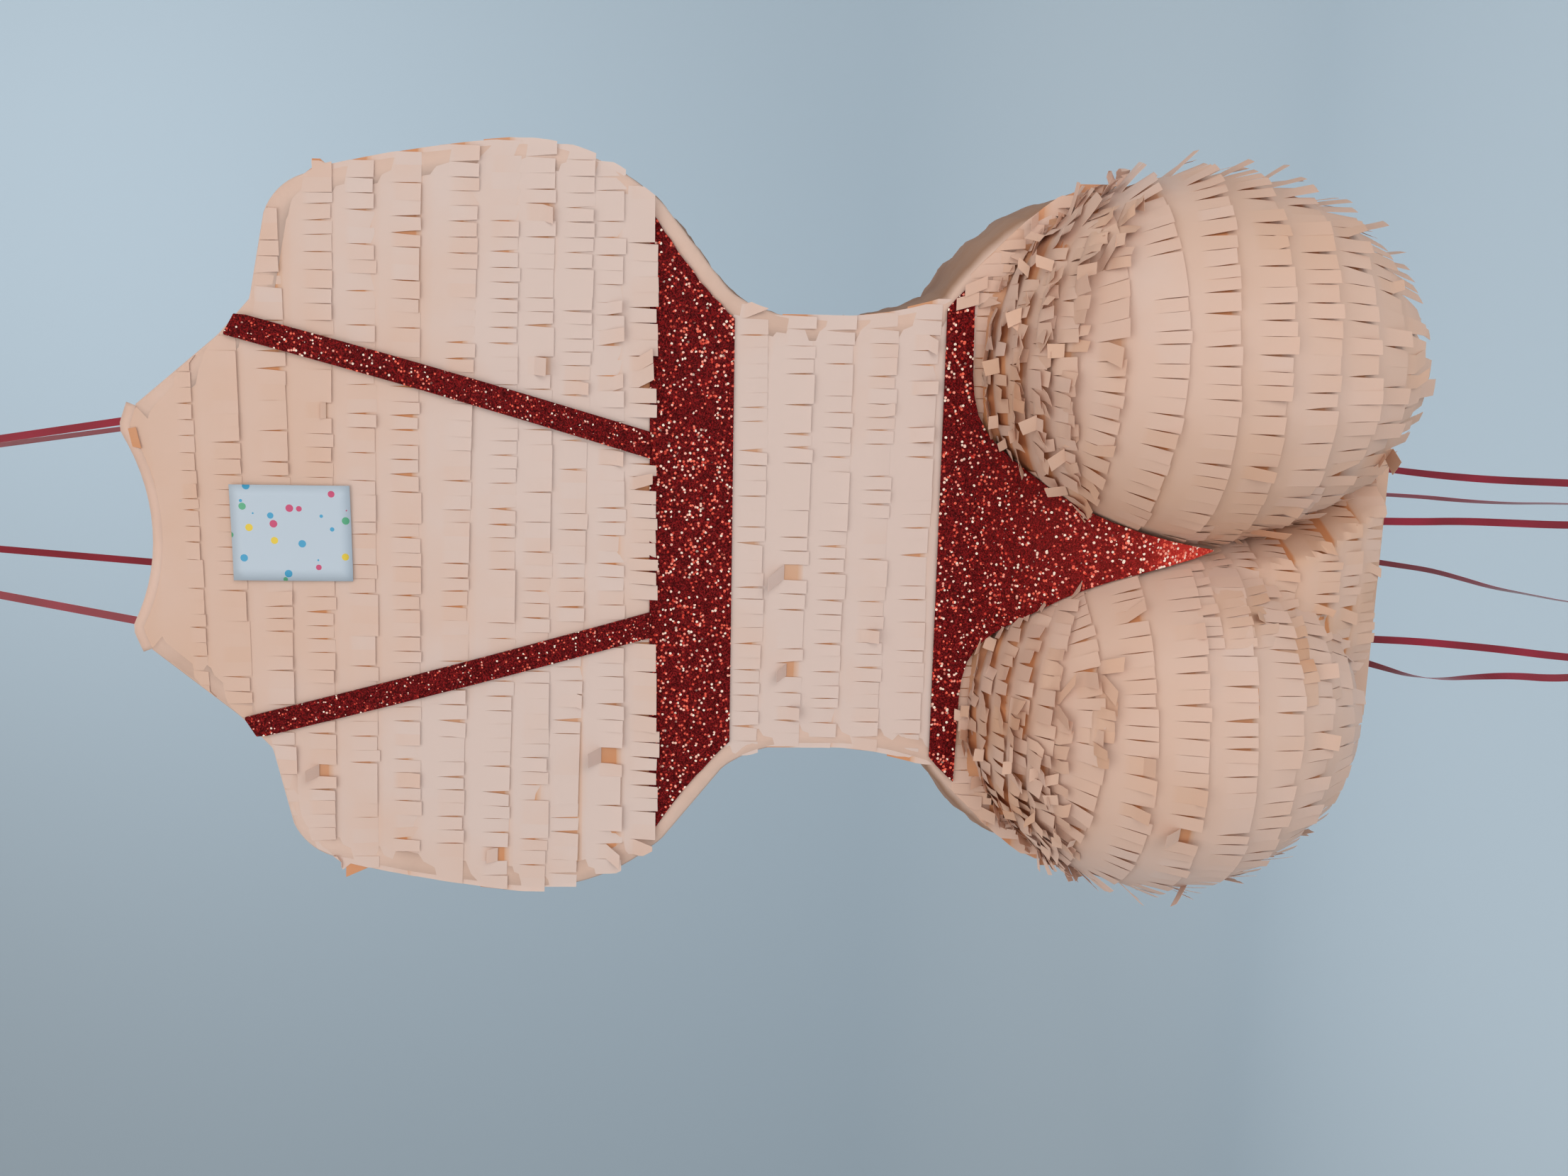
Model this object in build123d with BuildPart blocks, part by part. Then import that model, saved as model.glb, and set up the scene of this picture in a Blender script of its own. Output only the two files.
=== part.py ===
"""Pull-ribbon pinata shaped as a torso seen from behind.

A hollow corrugated-card box, cut to the torso's outline, carries two papier-mache domes at the hips.
Rows of crepe paper cover it, glitter-foam dress pieces are glued on top, four ribbons hang it from one
loop, and six ribbons come out at the bottom: one opens the trap door, the other five are decoys.

Frame: millimetres, +X to the viewer's right, +Y away from the viewer, +Z up. The origin is the inside
top of the hanging loop. Heights below are measured from the waist, which lies WAIST_DROP under the loop.
"""
import math
import os

from build123d import *

os.makedirs("parts", exist_ok=True)

# ---- driving dimensions -------------------------------------------------------------------------------
WAIST_DROP = 850.0  # hanging loop down to the waist's zero level
DEPTH = 120.0  # outer face of the front panel to outer face of the back panel
BOARD = 4.0  # corrugated card
CREPE = 1.0  # the space that one layer of crepe rows fills
FOAM = 2.0  # glitter foam sheet
CARD = 0.8  # label card
GAP = 0.6  # cut gap round a flap, and between neighbouring crepe rows
ROW = 27.0  # height of one crepe row that stays uncovered

NECK_TOP = 402.0
BAND_TOP, BAND_FOOT = 84.0, 33.0
THONG_TOP = -99.0  # the hip walls start here too
FOOT = -387.0  # flat underside of the box
FOOT_HALF = 115.0
HALF_WIDTH = 240.0  # more than the widest half of the torso

DOME_X, DOME_Z = 110.0, -245.0
DOME_R, DOME_RISE = 107.0, 120.0  # round in plan, taller than wide
DOME_WALL = 3.0

DOOR_W, DOOR_FRONT, DOOR_REAR = 90.0, -38.0, 38.0
HATCH_W, HATCH_LOW, HATCH_TOP = 100.0, 180.0, 260.0
CREASE_GAP = 4.0  # bare strip beside a flap's crease

RIBBON_W, RIBBON_T = 5.0, 1.0
PAD_T = 1.5  # glued ribbon end with its dab of glue
PAD_W, PAD_D = 8.0, 6.0
PAD_CLEAR = 0.25  # lets the pull ribbon turn against its glued end
HOLE_R = 4.0  # punched hole for a hanging ribbon
HANGER_Y = 49.0  # the holes' distance from the middle of the depth
KNOT_R = 4.5
LOOP_R = 2.0  # the four ribbons of the loop, as one bundle
TOP_KNOT_DROP = 52.0  # top knot's middle below the loop's inside top
DECOY_Y = -47.0
PULL_Y = DOOR_FRONT + GAP + 0.8  # the pull ribbon hangs at the door's free edge

FRONT, BACK = -DEPTH / 2, DEPTH / 2
CREPE_FRONT = FRONT - CREPE
SIDES = (("left", -1), ("right", 1))


# ---- helpers ------------------------------------------------------------------------------------------
def upright(y, x=0.0, height=0.0):
    """Vertical plane at depth y, seen from the front: x right, y up, normal towards the viewer."""
    return Plane(origin=(x, y, height - WAIST_DROP), x_dir=(1, 0, 0), z_dir=(0, -1, 0))


def level(height):
    """Horizontal plane at a height above the waist's zero level."""
    return Plane.XY.offset(height - WAIST_DROP)


def side_view(x):
    """Vertical plane seen from the right: x towards the back, y up, normal towards +X."""
    return Plane(origin=(x, 0, -WAIST_DROP), x_dir=(0, 1, 0), z_dir=(1, 0, 0))


def torso(grow=0.0):
    """Outline of the torso, grown or shrunk by a constant distance."""
    with BuildSketch() as outline:
        with BuildLine():
            ThreePointArc((0, 386), (32, 389.9), (63, NECK_TOP))
            Polyline((63, NECK_TOP), (76, 397), (119, 345), (141, 325), (192, 314))
            ThreePointArc((192, 314), (207, 303), (215, 285))
            ThreePointArc((215, 285), (227, 229), (235, 170))
            ThreePointArc((235, 170), (231, 130), (215, 95))
            Polyline((215, 95), (202, 78), (152, 38))
            ThreePointArc((152, 38), (140, 15), (136, -15))
            ThreePointArc((136, -15), (138, -60), (148, -99))
            ThreePointArc((148, -99), (202, -160), (220, -245))
            ThreePointArc((220, -245), (193, -332), (FOOT_HALF, FOOT))
            Line((FOOT_HALF, FOOT), (0, FOOT))
            mirror(about=Plane.YZ)
        make_face()
        if grow:
            offset(amount=grow, kind=Kind.ARC)
    return outline.sketch


def rim(inner, outer, x_range, z_range):
    """Part of the band between two offsets of the outline, inside a window."""
    with BuildSketch() as band:
        add(torso(outer))
        add(torso(inner), mode=Mode.SUBTRACT)
        with Locations((sum(x_range) / 2, sum(z_range) / 2)):
            Rectangle(x_range[1] - x_range[0], z_range[1] - z_range[0], mode=Mode.INTERSECT)
    return band.sketch


def save(builder, name):
    builder.part.label = name
    export_step(builder.part, f"parts/{name}.step")


def strip(shape, y_rear, thickness, name):
    """A flat or bent strip of constant outline, from y_rear towards the viewer."""
    with BuildPart() as piece:
        with BuildSketch(upright(y_rear)):
            add(shape)
        extrude(amount=thickness)
    save(piece, name)


# ---- the box ------------------------------------------------------------------------------------------
strip(torso(), FRONT + BOARD, BOARD, "front_panel")

with BuildPart() as back_panel:
    with BuildSketch(upright(BACK)):
        add(torso())
        with Locations((0, (HATCH_LOW + HATCH_TOP) / 2)):
            Rectangle(HATCH_W, HATCH_TOP - HATCH_LOW, mode=Mode.SUBTRACT)
    extrude(amount=BOARD)
save(back_panel, "back_panel")

INSIDE = DEPTH - 2 * BOARD
WALL_WINDOWS = {
    "shoulder_wall": ((76.0, HALF_WIDTH), (290.0, 420.0)),
    "chest_wall": ((100.0, HALF_WIDTH), (78.0, 290.0)),
    "waist_wall": ((100.0, HALF_WIDTH), (THONG_TOP, 78.0)),
    "hip_wall": ((FOOT_HALF, HALF_WIDTH), (FOOT - 10, THONG_TOP)),
}
for wall, ((near, far), z_range) in WALL_WINDOWS.items():
    for side, sign in SIDES:
        x_range = (near, far) if sign > 0 else (-far, -near)
        strip(rim(-BOARD, 0, x_range, z_range), BACK - BOARD, INSIDE, f"{wall}_{side}")


def scoop_height(x):
    """Height of the neck's edge at x: a shallow arc between the corners, then a short slope."""
    if abs(x) <= 63:
        return 518 - math.sqrt(132**2 - x**2)
    return NECK_TOP - (abs(x) - 63) * 5 / 13


# where each hanging ribbon leaves the neck
HANGERS = {
    "front_left": (-62.2, -HANGER_Y),
    "front_right": (67.3, -HANGER_Y),
    "back_left": (-43.5, HANGER_Y),
    "back_right": (61.0, HANGER_Y),
}


def inside_top_knot(x, y):
    """Where a hanging ribbon ends in the top knot: the four lie side by side in it."""
    return Vector(math.copysign(2.8, x), math.copysign(1.5, y), -TOP_KNOT_DROP - 4)


def hanger_plane(x, y, lead=0.0):
    """Plane across a hanging ribbon, at its exit or lead millimetres along it."""
    leaves = Vector(x, y, scoop_height(x) - WAIST_DROP)
    along = (inside_top_knot(x, y) - leaves).normalized()
    return Plane(origin=leaves + along * lead, x_dir=(1, 0, 0), z_dir=along)


def punch_ribbon_holes():
    """Four round tools, one through the neck at each hanging ribbon."""
    with BuildPart() as punches:
        for x, y in HANGERS.values():
            with BuildSketch(hanger_plane(x, y, -12)):
                Circle(HOLE_R)
        extrude(amount=24)
    return punches.part


with BuildPart() as neck_wall:
    with BuildSketch(upright(BACK - BOARD)):
        add(rim(-BOARD, 0, (-76, 76), (330, 420)))
    extrude(amount=INSIDE)
    add(punch_ribbon_holes(), mode=Mode.SUBTRACT)
save(neck_wall, "neck_wall")


def flap_gap(height, thickness, front, rear, half_width):
    """The space cut through a level layer of the underside for the trap door."""
    with BuildPart() as space:
        with BuildSketch(level(height)):
            with Locations((0, (front + rear) / 2)):
                Rectangle(2 * half_width, rear - front)
        extrude(amount=thickness)
    return space.part


with BuildPart() as bottom_wall:
    with BuildSketch(upright(BACK - BOARD)):
        add(rim(-BOARD, 0, (-FOOT_HALF, FOOT_HALF), (FOOT - 10, FOOT + 20)))
    extrude(amount=INSIDE)
    add(flap_gap(FOOT - 1, BOARD + 2, DOOR_FRONT, DOOR_REAR, DOOR_W / 2), mode=Mode.SUBTRACT)
save(bottom_wall, "bottom_wall")


# ---- papier-mache domes -------------------------------------------------------------------------------
def dome_shell(x, inner, outer, name):
    """Front half of a hollow spheroid, standing on the front panel."""
    with BuildPart() as shell:
        with BuildSketch(upright(FRONT, x, DOME_Z)):
            Ellipse(DOME_R + outer, DOME_RISE + outer)
            Ellipse(DOME_R + inner, DOME_RISE + inner, mode=Mode.SUBTRACT)
            Rectangle(2 * DOME_R, 3 * DOME_RISE, align=(Align.MIN, Align.CENTER), mode=Mode.INTERSECT)
        revolve(axis=Axis((x, FRONT, 0), (0, 0, 1)))
        split(bisect_by=upright(FRONT), keep=Keep.TOP)
    save(shell, name)


for side, sign in SIDES:
    dome_shell(sign * DOME_X, -DOME_WALL, 0, f"dome_{side}")
    dome_shell(sign * DOME_X, 0, CREPE, f"crepe_dome_{side}")


# ---- crepe paper --------------------------------------------------------------------------------------
def crepe_rows(y_rear, foot, count, pitch, name, hole=None):
    """Crepe rows one above the other, each cut to the torso's outline."""
    with BuildPart() as rows:
        with BuildSketch(upright(y_rear)):
            with Locations(*[(0, foot + (row + 0.5) * pitch) for row in range(count)]):
                Rectangle(2 * HALF_WIDTH, pitch - GAP)
            add(torso(), mode=Mode.INTERSECT)
            if hole:
                with Locations((0, (hole[0] + hole[1]) / 2)):
                    Rectangle(HATCH_W, hole[1] - hole[0], mode=Mode.SUBTRACT)
        extrude(amount=CREPE)
    save(rows, name)


CHEST_ROWS = round((NECK_TOP - BAND_TOP) / ROW)
WAIST_ROWS = round((BAND_FOOT - THONG_TOP) / ROW)
BACK_ROWS = round((NECK_TOP - FOOT) / ROW)
crepe_rows(FRONT, BAND_TOP, CHEST_ROWS, (NECK_TOP - BAND_TOP) / CHEST_ROWS, "crepe_chest_rows")
crepe_rows(FRONT, THONG_TOP, WAIST_ROWS, (BAND_FOOT - THONG_TOP) / WAIST_ROWS, "crepe_waist_rows")
crepe_rows(
    BACK + CREPE,
    FOOT,
    BACK_ROWS,
    (NECK_TOP - FOOT) / BACK_ROWS,
    "crepe_back_rows",
    hole=(HATCH_LOW, HATCH_TOP + CREASE_GAP),
)

with BuildPart() as crepe_hip_front:
    with BuildSketch(upright(FRONT)):
        with Locations((0, (THONG_TOP - 140) / 2)):
            Rectangle(2 * HALF_WIDTH, -140 - THONG_TOP)
        with Locations((0, (THONG_TOP + FOOT) / 2)):
            Rectangle(88, THONG_TOP - FOOT)
        with Locations((0, FOOT + 18)):
            Rectangle(2 * FOOT_HALF, 36)
        add(torso(), mode=Mode.INTERSECT)
        with Locations((-DOME_X, DOME_Z), (DOME_X, DOME_Z)):
            Ellipse(DOME_R + CREPE + GAP, DOME_RISE + CREPE + GAP, mode=Mode.SUBTRACT)
    extrude(amount=CREPE)
save(crepe_hip_front, "crepe_hip_front")

WRAP_WINDOWS = {"left": (-HALF_WIDTH - 5, -FOOT_HALF), "right": (FOOT_HALF, HALF_WIDTH + 5)}
for side, x_range in WRAP_WINDOWS.items():
    strip(rim(0, CREPE, x_range, (FOOT - 10, 349)), BACK, DEPTH, f"crepe_side_{side}")

with BuildPart() as crepe_neck:
    with BuildSketch(upright(BACK)):
        add(rim(0, CREPE, (-FOOT_HALF, FOOT_HALF), (349.5, 420)))
    extrude(amount=DEPTH)
    add(punch_ribbon_holes(), mode=Mode.SUBTRACT)
save(crepe_neck, "crepe_neck")

with BuildPart() as crepe_bottom:
    with BuildSketch(upright(BACK)):
        add(rim(0, CREPE, (-FOOT_HALF, FOOT_HALF), (FOOT - 10, FOOT + 20)))
    extrude(amount=DEPTH)
    add(flap_gap(FOOT - 5, 10, DOOR_FRONT, DOOR_REAR, DOOR_W / 2), mode=Mode.SUBTRACT)
save(crepe_bottom, "crepe_bottom")

# ---- glitter foam and label ---------------------------------------------------------------------------
with BuildPart() as back_band:
    with BuildSketch(upright(FRONT)):
        with BuildLine():
            Line((0, BAND_TOP), (198, BAND_TOP))
            ThreePointArc((198, BAND_TOP), (168, 57), (135, BAND_FOOT))
            Line((135, BAND_FOOT), (0, BAND_FOOT))
            mirror(about=Plane.YZ)
        make_face()
    extrude(amount=FOAM)
save(back_band, "back_band")

for side, sign in SIDES:
    with BuildPart() as strap:
        with BuildSketch(upright(CREPE_FRONT)):
            with BuildLine():
                Polyline(
                    (sign * 49, BAND_TOP),
                    (sign * 65, BAND_TOP),
                    (sign * 133, 334),
                    (sign * 120, 341),
                    close=True,
                )
            make_face()
        extrude(amount=FOAM)
    save(strap, f"strap_{side}")

# the thong's sheet leaves the panel at its top edge, rides out over the domes' inner slopes and
# turns back into the cleft at its tip
THONG_RIDE = (
    (CREPE_FRONT - 0.2, THONG_TOP),
    (CREPE_FRONT - 32, -158),
    (CREPE_FRONT - 46, -222),
    (CREPE_FRONT - 29, -266),
)
with BuildPart() as thong_panel:
    with BuildSketch(side_view(-HALF_WIDTH)):
        with BuildLine():
            Spline(*THONG_RIDE)
            Spline(*[(y - FOAM, z) for y, z in THONG_RIDE])
            Line(THONG_RIDE[0], (THONG_RIDE[0][0] - FOAM, THONG_RIDE[0][1]))
            Line(THONG_RIDE[-1], (THONG_RIDE[-1][0] - FOAM, THONG_RIDE[-1][1]))
        make_face()
    extrude(amount=2 * HALF_WIDTH)
    with BuildSketch(upright(0)):
        with BuildLine():
            Polyline((0, THONG_TOP + 1), (142, THONG_TOP + 1), (159, -115), (102, -115))
            ThreePointArc((102, -115), (80, -119), (63, -130))
            ThreePointArc((63, -130), (45, -150), (26, -176))
            ThreePointArc((26, -176), (13, -209), (0, -265))
            mirror(about=Plane.YZ)
        make_face()
    extrude(amount=200, mode=Mode.INTERSECT)
save(thong_panel, "thong_panel")

with BuildPart() as label_card:
    with BuildSketch(upright(CREPE_FRONT)):
        with Locations((-1, 306.5)):
            Rectangle(60, 73)
    extrude(amount=CARD)
save(label_card, "label_card")

# ---- hanging ribbons ----------------------------------------------------------------------------------
INSIDE_KNOT_LEAD = -(BOARD + KNOT_R)
with BuildPart() as hanger_knots:
    for x, y in HANGERS.values():
        with BuildSketch(hanger_plane(x, y, INSIDE_KNOT_LEAD - KNOT_R * 0.6)):
            Circle(KNOT_R)
    extrude(amount=KNOT_R * 1.2)
save(hanger_knots, "hanger_knots")

for name, (x, y) in HANGERS.items():
    start = hanger_plane(x, y, INSIDE_KNOT_LEAD)
    with BuildPart() as hanger:
        with BuildSketch(start):
            Rectangle(RIBBON_W, RIBBON_T)
        extrude(amount=(inside_top_knot(x, y) - start.origin).length)
    save(hanger, f"hanging_ribbon_{name}")

with BuildPart() as hanging_knot:
    with Locations((0, 0, -TOP_KNOT_DROP)):
        Sphere(9)
    with Locations((0, 0, -TOP_KNOT_DROP - 9)):
        Cone(6.5, 7.5, 8)
save(hanging_knot, "hanging_knot")

LOOP_TURNS = (8, 7, 7, 8)
with BuildPart() as hanging_loop:
    with BuildLine(Plane.XZ):
        bend = FilletPolyline(
            (-2, -TOP_KNOT_DROP + 4),
            (-12, -16),
            (-9, LOOP_R),
            (9, LOOP_R),
            (12, -16),
            (2, -TOP_KNOT_DROP + 4),
            radius=list(LOOP_TURNS),
        )
    with BuildSketch(Plane(origin=bend @ 0, z_dir=bend % 0)):
        Circle(LOOP_R)
    sweep(path=bend)
save(hanging_loop, "hanging_loop")

# ---- pull ribbons -------------------------------------------------------------------------------------
PAD_FOOT = FOOT - CREPE - PAD_T
DECOY_ROUTES = {
    "decoy_ribbon_1": (
        (-81, PAD_FOOT),
        (-85, -404),
        (-91, -424),
        (-93, -446),
        (-91, -470),
        (-90, -496),
        (-92, -524),
        (-89, -560),
        (-90, -606),
    ),
    "decoy_ribbon_2": (
        (-65.5, PAD_FOOT),
        (-66.5, -420),
        (-69, -452),
        (-72, -486),
        (-76, -520),
        (-79, -560),
        (-78, -606),
    ),
    "decoy_ribbon_3": (
        (-13, PAD_FOOT),
        (-15.5, -408),
        (-18.5, -430),
        (-24, -452),
        (-30, -474),
        (-34, -498),
        (-39, -526),
        (-42, -560),
        (-42.5, -606),
    ),
    "decoy_ribbon_4": (
        (31.5, PAD_FOOT),
        (30.5, -416),
        (28, -446),
        (26.6, -478),
        (27.2, -512),
        (25.8, -560),
        (25, -606),
    ),
    "decoy_ribbon_5": (
        (48.5, PAD_FOOT),
        (46, -412),
        (43.6, -440),
        (41.9, -470),
        (41, -508),
        (39.5, -560),
        (39, -606),
    ),
}
PULL_TOP = FOOT - CREPE - 0.25
PULL_ROUTE = (
    (12.4, PULL_TOP),
    (12.2, -420),
    (13.2, -452),
    (12.4, -486),
    (11.4, -520),
    (11.9, -560),
    (12.4, -606),
)


def route_radii(points):
    """The largest arcs that a ribbon's runs allow."""
    radii = []
    for before, here, after in zip(points, points[1:], points[2:]):
        into = Vector(here[0] - before[0], here[1] - before[1])
        out = Vector(after[0] - here[0], after[1] - here[1])
        turn = math.radians(into.get_angle(out))
        radii.append(0.45 * min(into.length, out.length) / math.tan(turn / 2))
    return radii


def ribbon(name, y, points):
    """A flat ribbon on straight runs joined by arcs, in the vertical plane at depth y."""
    radii = route_radii(points)
    with BuildPart() as tape:
        with BuildLine(upright(y)):
            path = FilletPolyline(*points, radius=radii)
        with BuildSketch(Plane(origin=path @ 0, x_dir=(1, 0, 0), z_dir=path % 0)):
            Rectangle(RIBBON_W, RIBBON_T)
        sweep(path=path)
    expected = RIBBON_W * RIBBON_T * path.length
    print(f"{name}: radii {[round(r) for r in radii]}, volume {tape.part.volume:.1f} of {expected:.1f}")
    save(tape, name)


for name, points in DECOY_ROUTES.items():
    ribbon(name, DECOY_Y, points)
ribbon("pull_ribbon", PULL_Y, PULL_ROUTE)

with BuildPart() as decoy_ribbon_ends:
    with BuildSketch(level(FOOT - CREPE)):
        with Locations(*[(points[0][0], DECOY_Y) for points in DECOY_ROUTES.values()]):
            Rectangle(PAD_W, PAD_D)
    extrude(amount=-PAD_T)
save(decoy_ribbon_ends, "decoy_ribbon_ends")

# ---- trap door in the underside -----------------------------------------------------------------------
DOOR_HALF = DOOR_W / 2 - GAP
with BuildPart() as door_panel:
    add(flap_gap(FOOT, BOARD, DOOR_FRONT + GAP, DOOR_REAR, DOOR_HALF))
save(door_panel, "door_panel")

with BuildPart() as door_crepe:
    add(flap_gap(FOOT - CREPE, CREPE, DOOR_FRONT + GAP, DOOR_REAR - CREASE_GAP, DOOR_HALF))
save(door_crepe, "door_crepe")

with BuildPart() as pull_ribbon_end:
    with BuildSketch(level(FOOT - CREPE)):
        with Locations((PULL_ROUTE[0][0], PULL_Y + RIBBON_T / 2 + PAD_CLEAR)):
            Rectangle(PAD_W, PAD_D, align=(Align.CENTER, Align.MIN))
    extrude(amount=-PAD_T)
save(pull_ribbon_end, "pull_ribbon_end")

# ---- fill hatch in the back panel ---------------------------------------------------------------------
with BuildPart() as hatch_panel:
    with BuildSketch(upright(BACK)):
        with Locations((0, HATCH_TOP)):
            Rectangle(
                HATCH_W - 2 * GAP,
                HATCH_TOP - HATCH_LOW - GAP,
                align=(Align.CENTER, Align.MAX),
            )
    extrude(amount=BOARD)
save(hatch_panel, "hatch_panel")

with BuildPart() as hatch_crepe:
    with BuildSketch(upright(BACK + CREPE)):
        with Locations((0, HATCH_TOP - CREASE_GAP)):
            Rectangle(
                HATCH_W - 2 * GAP,
                HATCH_TOP - CREASE_GAP - HATCH_LOW - GAP,
                align=(Align.CENTER, Align.MAX),
            )
    extrude(amount=CREPE)
save(hatch_crepe, "hatch_crepe")
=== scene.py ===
"""Looks of the pull-ribbon pinata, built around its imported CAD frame.

Lengths below are in millimetres from the waist level, as in the CAD source, and to_row() turns them into
the row frame's metres. Every random draw comes from a seeded generator.
"""

import math

import bmesh
import bpy
import numpy as np
from mathutils import Matrix, Vector, noise


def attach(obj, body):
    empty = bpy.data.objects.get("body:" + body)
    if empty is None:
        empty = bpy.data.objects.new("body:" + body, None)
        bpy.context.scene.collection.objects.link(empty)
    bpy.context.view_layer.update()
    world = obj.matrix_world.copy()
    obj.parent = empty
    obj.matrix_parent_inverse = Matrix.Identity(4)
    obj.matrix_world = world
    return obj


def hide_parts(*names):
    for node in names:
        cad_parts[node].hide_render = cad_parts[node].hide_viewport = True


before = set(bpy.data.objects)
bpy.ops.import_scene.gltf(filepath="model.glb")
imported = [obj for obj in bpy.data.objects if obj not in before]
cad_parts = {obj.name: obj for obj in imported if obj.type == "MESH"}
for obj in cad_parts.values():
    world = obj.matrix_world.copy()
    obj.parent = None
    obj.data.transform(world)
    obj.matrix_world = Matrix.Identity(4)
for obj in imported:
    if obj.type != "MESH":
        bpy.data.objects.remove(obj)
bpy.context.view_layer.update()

MM = 0.001
WAIST_DROP = 850.0  # the waist level lies this far under the hanging loop
FRONT, BACK = -60.0, 60.0  # outer faces of the two panels
SHELL, DOOR, HATCH, PULL = "shell", "trap_door", "fill_hatch", "pull_ribbon_run"


def to_row(points):
    """Waist-level millimetres to the row frame's metres."""
    return (np.asarray(points, float).reshape(-1, 3) - [0, 0, WAIST_DROP]) * MM


def from_row(mesh):
    """A mesh's vertices, in waist-level millimetres."""
    return np.array([v.co for v in mesh.vertices]) / MM + [0, 0, WAIST_DROP]


def add_object(name, data):
    """An object with this data, in the scene."""
    made = bpy.data.objects.new(name, data)
    bpy.context.scene.collection.objects.link(made)
    return made


# ---- camera ----
CAMERA_AT = (127.9, -904.9, 42.4)
CAMERA_YAW, CAMERA_PITCH, CAMERA_ROLL = -10.77, 2.865, 0.632
LENS, SENSOR = 30.92, 36.0


def make_camera():
    """The camera lies a quarter turn on its side, so the pinata's top is at the picture's left."""
    turn = (
        Matrix.Rotation(math.radians(CAMERA_ROLL), 3, "Y")
        @ Matrix.Rotation(math.radians(CAMERA_PITCH), 3, "X")
        @ Matrix.Rotation(math.radians(CAMERA_YAW), 3, "Z")
    )
    back = turn.transposed()
    right, up, behind = back @ Vector((0, 0, -1)), back @ Vector((1, 0, 0)), back @ Vector((0, -1, 0))
    data = bpy.data.cameras.new("camera")
    data.lens = LENS
    data.sensor_width = SENSOR
    data.clip_start = 0.01
    data.clip_end = 50
    camera = add_object("camera", data)
    camera.matrix_world = Matrix.LocRotScale(
        Vector(to_row(CAMERA_AT)[0]), Matrix((right, up, behind)).transposed().to_quaternion(), None
    )
    bpy.context.scene.camera = camera


make_camera()


# ---- material tools ----
def fill(node, **values):
    """Sets a node's inputs, or else its settings; in an input's name, an underscore stands for a space."""
    for key, value in values.items():
        name = key.replace("_", " ")
        if name in node.inputs:
            node.inputs[name].default_value = value
        else:
            setattr(node, key, value)


def new_material(name):
    """A node material with its Principled shader; returns it with its node and link makers."""
    material = bpy.data.materials.new(name)
    material.use_nodes = True
    tree = material.node_tree

    def node(kind, source=None, **values):
        """A new node with its values; source, if any, gives it its coordinates."""
        made = tree.nodes.new("ShaderNode" + kind)
        fill(made, **values)
        if source:
            link(source, "Object" if "Object" in source.outputs else "Vector", made, "Vector")
        return made

    def link(source, output, target, socket):
        """Joins a node's output to another node's input."""
        tree.links.new(source.outputs[output], target.inputs[socket])

    return material, tree.nodes["Principled BSDF"], node, link


def maths(node, link, operation, *terms):
    """A maths node; each term is a number, or a node and its output."""
    made = node("Math", operation=operation)
    for socket, term in enumerate(terms):
        if isinstance(term, tuple):
            link(*term, made, socket)
        else:
            made.inputs[socket].default_value = term
    return made


def add_bumps(node, link, shader, *bumps):
    """Bumps on the shader, each from a texture, its strength and its distance; the first lies on top."""
    made = [node("Bump", Strength=strength, Distance=distance) for _, strength, distance in bumps]
    for bump, (texture, *_) in zip(made, bumps):
        link(texture, "Fac", bump, "Height")
    for bump, below in zip(made, made[1:]):
        link(below, "Normal", bump, "Normal")
    link(made[0], "Normal", shader, "Normal")


def ramp(node, stops):
    """A colour ramp with the given (position, colour) stops."""
    made = node("ValToRGB")
    elements = made.color_ramp.elements
    while len(elements) < len(stops):
        elements.new(0.5)
    for element, (position, colour) in zip(elements, stops):
        element.position = position
        element.color = (*colour, 1)
    return made


CREPE_COOL = (0.82, 0.665, 0.60)  # the coolest, greyest peach, reached by the lowest tints, as on the chest's lower rows and the waist
CREPE_PALE = (0.82, 0.60, 0.495)
CREPE_WARM = (0.78, 0.50, 0.345)
CREPE_DEEP = (0.74, 0.32, 0.14)  # the shaded layers under the tabs


def crepe_material(name, warm, deep, crinkle, creases):
    """Crepe paper: soft peach, a little light through it, fine crinkles and a tint for each tab."""
    material, shader, node, link = new_material(name)
    place = node("TexCoord")
    tint = node("Attribute", attribute_name="tint")
    patches = node("TexNoise", place, Scale=11.0, Detail=4.0)
    blend = maths(node, link, "MULTIPLY_ADD", (patches, "Fac"), 0.9, (tint, "Fac"))
    colour = ramp(node, [(0.04, CREPE_COOL), (0.26, CREPE_PALE), (0.75, warm), (1.0, deep)])
    scaled = maths(node, link, "MULTIPLY", (blend, 0), 0.66)
    link(scaled, 0, colour, "Fac")
    link(colour, "Color", shader, "Base Color")
    fill(shader, Roughness=0.85, Specular_IOR_Level=0.2, Sheen_Weight=0.1, Sheen_Roughness=0.5)

    stretch = node("Mapping", place, Scale=(1.0, 1.0, 0.16))
    fine = node("TexNoise", stretch, Scale=900.0, Detail=3.0, Roughness=0.6)
    broad = node("TexNoise", place, Scale=45.0, Detail=3.0)
    add_bumps(node, link, shader, (fine, crinkle, 0.0003), (broad, creases, 0.003))

    through = node("BsdfTranslucent")
    link(colour, "Color", through, "Color")
    mixed = node("MixShader", Fac=0.22)
    link(shader, "BSDF", mixed, 1)
    link(through, "BSDF", mixed, 2)
    link(mixed, "Shader", material.node_tree.nodes["Material Output"], "Surface")
    return material


GRAIN_REDS = [(0.0, (0.04, 0.0006, 0.001)), (0.6, (0.11, 0.002, 0.003)), (1.0, (0.28, 0.008, 0.009))]
# flake colours: red, up to near white for the painted glints
FLAKE_REDS_AND_GLINTS = [(0.0, (0.55, 0.03, 0.02)), (0.5, (1.0, 0.18, 0.11)), (0.86, (1.0, 0.84, 0.70))]
# painted highlight: the base is tinted towards this red on the thong's tip
PAINTED_TIP_HIGHLIGHT = (1.0, 0.07, 0.05)


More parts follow.
